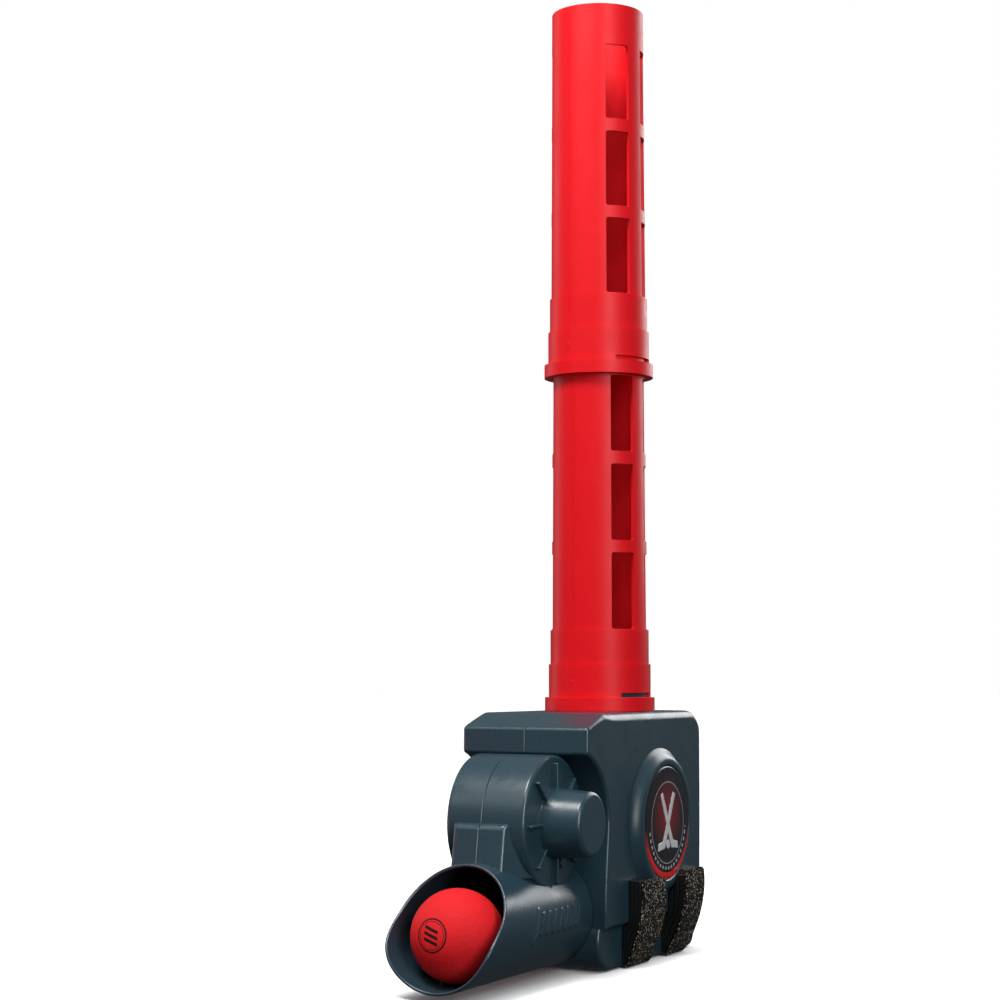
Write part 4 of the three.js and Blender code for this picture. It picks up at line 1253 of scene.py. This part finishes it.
def softened(points):
    """An open run of points with its inner corners cut back twice, which leaves a smooth curve."""
    for _ in range(2):
        out = [points[0]]
        for (x0, z0), (x1, z1) in zip(points, points[1:]):
            for share in (0.75, 0.25):
                out.append((x0 * share + x1 * (1 - share), z0 * share + z1 * (1 - share)))
        points = out + [points[-1]]
    return points


def layer_outline(bulge, top, near, far):
    """One layer of the backing: the band between two shares of its thickness."""
    back = np.array([(45.5, top), (45.5, 45), (45.6, 30.5), (45.2, 28.4),
                     (40.7, 27.8), (40.5, 9), (40.5, 2.4)])
    face = np.array([(53.8 + bulge, top), (54.6 + bulge, 45), (53.2 + bulge * 0.9, 34),
                     (51.6 + bulge * 0.8, 27), (47.3 + bulge * 0.5, 13.6), (43.9 + bulge * 0.2, 6.2),
                     (42.3, 2.4)])
    a = back + (face - back) * near
    b = back + (face - back) * far
    return softened([tuple(p) for p in b]) + softened([tuple(p) for p in a[::-1]])


def pad_rings(outline, y0, y1, edge, count):
    """An (x, z) outline carried along y, with its two ends rounded over."""
    pts = np.array(outline)
    inner = inward(outline)
    rounding = []
    for a in np.linspace(0, math.pi / 2, 6):
        rounding.append((edge - edge * math.cos(a), edge * 0.5 * (1 - math.sin(a))))
    stations = [(y0 + d, cut) for d, cut in rounding]
    stations += [(y, 0.0) for y in np.linspace(y0 + edge, y1 - edge, count)[1:-1]]
    stations += [(y1 - d, cut) for d, cut in reversed(rounding)]
    rings = []
    for y, offset in stations:
        rings.append([(x, y, z) for x, z in pts + inner * offset])
    return loft(rings)


def roughen(obj, depth, scale, y0, y1):
    """Pushes vertices in and out with fixed noise between two stations, for a foam surface."""
    mesh = obj.data
    normals = [v.normal.copy() for v in mesh.vertices]
    for v, normal in zip(mesh.vertices, normals):
        if not y0 < v.co.y < y1:
            continue
        value = noise.noise(v.co / scale) + 0.6 * noise.noise(v.co / (scale * 0.45))
        v.co += normal * (depth * min(0.3, value) - depth * 0.3)


def ball_piece():
    """The foam ball, with shallow pits."""
    bm = bmesh.new()
    bmesh.ops.create_icosphere(bm, subdivisions=6, radius=BALL_R - 0.15)
    for v in bm.verts:
        heading = v.co.normalized()
        pit = noise.noise(v.co / 1.5) + 0.5 * noise.noise(v.co / 0.7)
        v.co += heading * (0.12 * min(0.2, pit))
    bmesh.ops.translate(bm, verts=bm.verts, vec=BALL_CENTRE)
    ball = bmesh_object("ball", bm)
    piece = finish_piece(ball, "ball_foam", "red_foam", "ball", ["foam_ball"], angle=80, weighted=False)


def badge_piece(hand):
    """The printed disc, slightly crowned, with a raised silver emblem of two crossed sticks and a ball."""
    face = BADGE_FACE_X
    crown = [(BADGE_R - 0.05, face - 0.5), (BADGE_R - 0.5, face - 0.1), (BADGE_R - 1.2, face)]
    profile = [(0, 48.75), (BADGE_R - 0.05, 48.75)] + crown + [(20, face + 0.12), (0, face + 0.15)]
    disc = raw_object("disc", *turned(profile, "X", BADGE_CENTRE[1:], 120))
    reliefs = [flat_relief(shape, face + 0.1, face + 0.45) for shape in emblem_shapes()]
    emblem = combine(reliefs[0], reliefs[1:], "UNION")
    if hand == "left":
        mirrored(disc)
        mirrored(emblem)
    finish_piece(disc, f"badge_{hand}_print", "badge", "housing", [f"badge_disc_{hand}"])
    finish_piece(emblem, f"badge_{hand}_emblem", "steel", "housing", material=SILVER)


def emblem_shapes():
    """Outlines in the badge's own plane: two crossed hockey sticks with a ball between their blades."""
    size = 1.25
    shapes = []
    for flip in (1, -1):
        shaft = [(-9.8, 15), (-6.9, 16.2), (6.6, -9.6), (12.9, -10.8), (13.4, -14.6), (4.5, -13.6)]
        shapes.append([(size * flip * u, size * v) for u, v in shaft])
    shapes.append(arc(0, size * -11.6, size * 2.4, 0, 360, 32)[:-1])
    return shapes


def flat_relief(outline, x0, x1):
    """A plane outline raised off the badge, with a small bevel round its face."""
    rings = []
    pts = np.array(resampled(outline, 3))
    inner = inward(pts.tolist())
    for x, offset in ((x0 - 0.3, 0), (x1 - 0.12, 0), (x1, 0.14)):
        place = pts + inner * offset
        rings.append([(x, BADGE_CENTRE[1] + u, BADGE_CENTRE[2] + v) for u, v in place])
    return raw_object("relief", *loft(rings))


def nozzle_marks():
    """A plain row of raised slanted bars on the nozzle's right side."""
    bars = []
    for y, (low, high) in zip(BAR_YS, BAR_SPANS):
        bars.append(surface_bar(y, low, y + (high - low) / 3, high))
    finish_piece(combine(bars[0], bars[1:], "UNION"), "nozzle_relief_bars", "slate_plastic", "housing")


def surface_bar(y0, z0, y1, z1):
    """A low flat-topped bar lying on the nozzle's right side between two (y, z) points."""
    start, end = Vector((y0, z0)), Vector((y1, z1))
    along = (end - start).normalized()
    across = Vector((-along.y, along.x))
    section = [(-0.5, -0.6), (0.5, -0.6), (0.5, 0.5), (0.42, 0.85),
               (0.25, 1.0), (-0.25, 1.0), (-0.42, 0.85), (-0.5, 0.5)]
    stations = [(0, 0.75), (0.03, 0.95)]
    stations += [(t, 1.0) for t in np.linspace(0.08, 0.92, 9)]
    stations += [(0.97, 0.95), (1, 0.75)]
    rings = []
    for t, narrow in stations:
        ring = []
        for u, lift in section:
            p = start + (end - start) * t + across * (u * BAR_WIDTH * narrow)
            r = nozzle_radius(p.x)
            rise = max(-r, min(r, p.y - NOZZLE_BOTTOM - r))
            swell = 1 + lift * narrow / r
            ring.append((math.sqrt(r * r - rise * rise) * swell, p.x, NOZZLE_BOTTOM + r + rise * swell))
        rings.append(ring)
    return raw_object("bar", *loft(rings))


def battery_door_piece():
    """The rear door with finger ribs and its hinge barrel."""
    outside = [(BODY_BACK_LOW, LEDGE_Z), (BODY_BACK, 90), (BODY_BACK, DOOR_HIGH)]
    inside = [(y - WALL, z) for y, z in reversed(outside)]
    door = raw_object("door", *loft([carried(outside + inside, x) for x in (-DOOR_HALF, DOOR_HALF)]))
    soften_edges(door, 0.3, 2, 60)
    barrel = rod_object(-DOOR_HALF, DOOR_HALF, DOOR_PIN_Y, DOOR_PIN_Z, DOOR_BARREL_R, 48)
    apron = box_object((-DOOR_HALF, DOOR_PIN_Y - 0.9, DOOR_PIN_Z),
                       (DOOR_HALF, DOOR_PIN_Y + 1.6, LEDGE_Z + 3))
    ribs = []
    for z in FINGER_RIB_ZS:
        ribs.append(box_object((-FINGER_RIB_HALF, BODY_BACK - 1.5, z),
                               (FINGER_RIB_HALF, BODY_BACK - 0.05, z + 1.6), 0.5))
    combine(door, [barrel, apron] + ribs, "UNION")
    combine(door, [rod_object(-40, 40, DOOR_PIN_Y, DOOR_PIN_Z, DOOR_PIN_BORE_R, 32)], "DIFFERENCE")
    finish_piece(door, "battery_door_moulding", "slate_plastic", "battery_door", ["battery_door"])


def dress_cad_nodes():
    """Every CAD node that still shows takes its slot's material and smooth shading."""
    slots = {s["node"]: s["material_slot"] for s in frame["record"]["subparts"]}
    for name, node in frame["nodes"].items():
        if node.hide_render:
            continue
        node.data.materials.clear()
        node.data.materials.append(MATERIALS[slots[name]])
        for polygon in node.data.polygons:
            polygon.use_smooth = True
        node.data.set_sharp_from_angle(angle=math.radians(30))


add_camera()
add_stage()
for level in range(2):
    tube_piece(level)
for hand in ("right", "left"):
    housing_half(hand)
    head_half(hand)
for end in ("front", "rear"):
    for hand in ("right", "left"):
        foot_pad(end, hand)
for hand in ("right", "left"):
    badge_piece(hand)
ball_piece()
nozzle_marks()
battery_door_piece()
dress_cad_nodes()
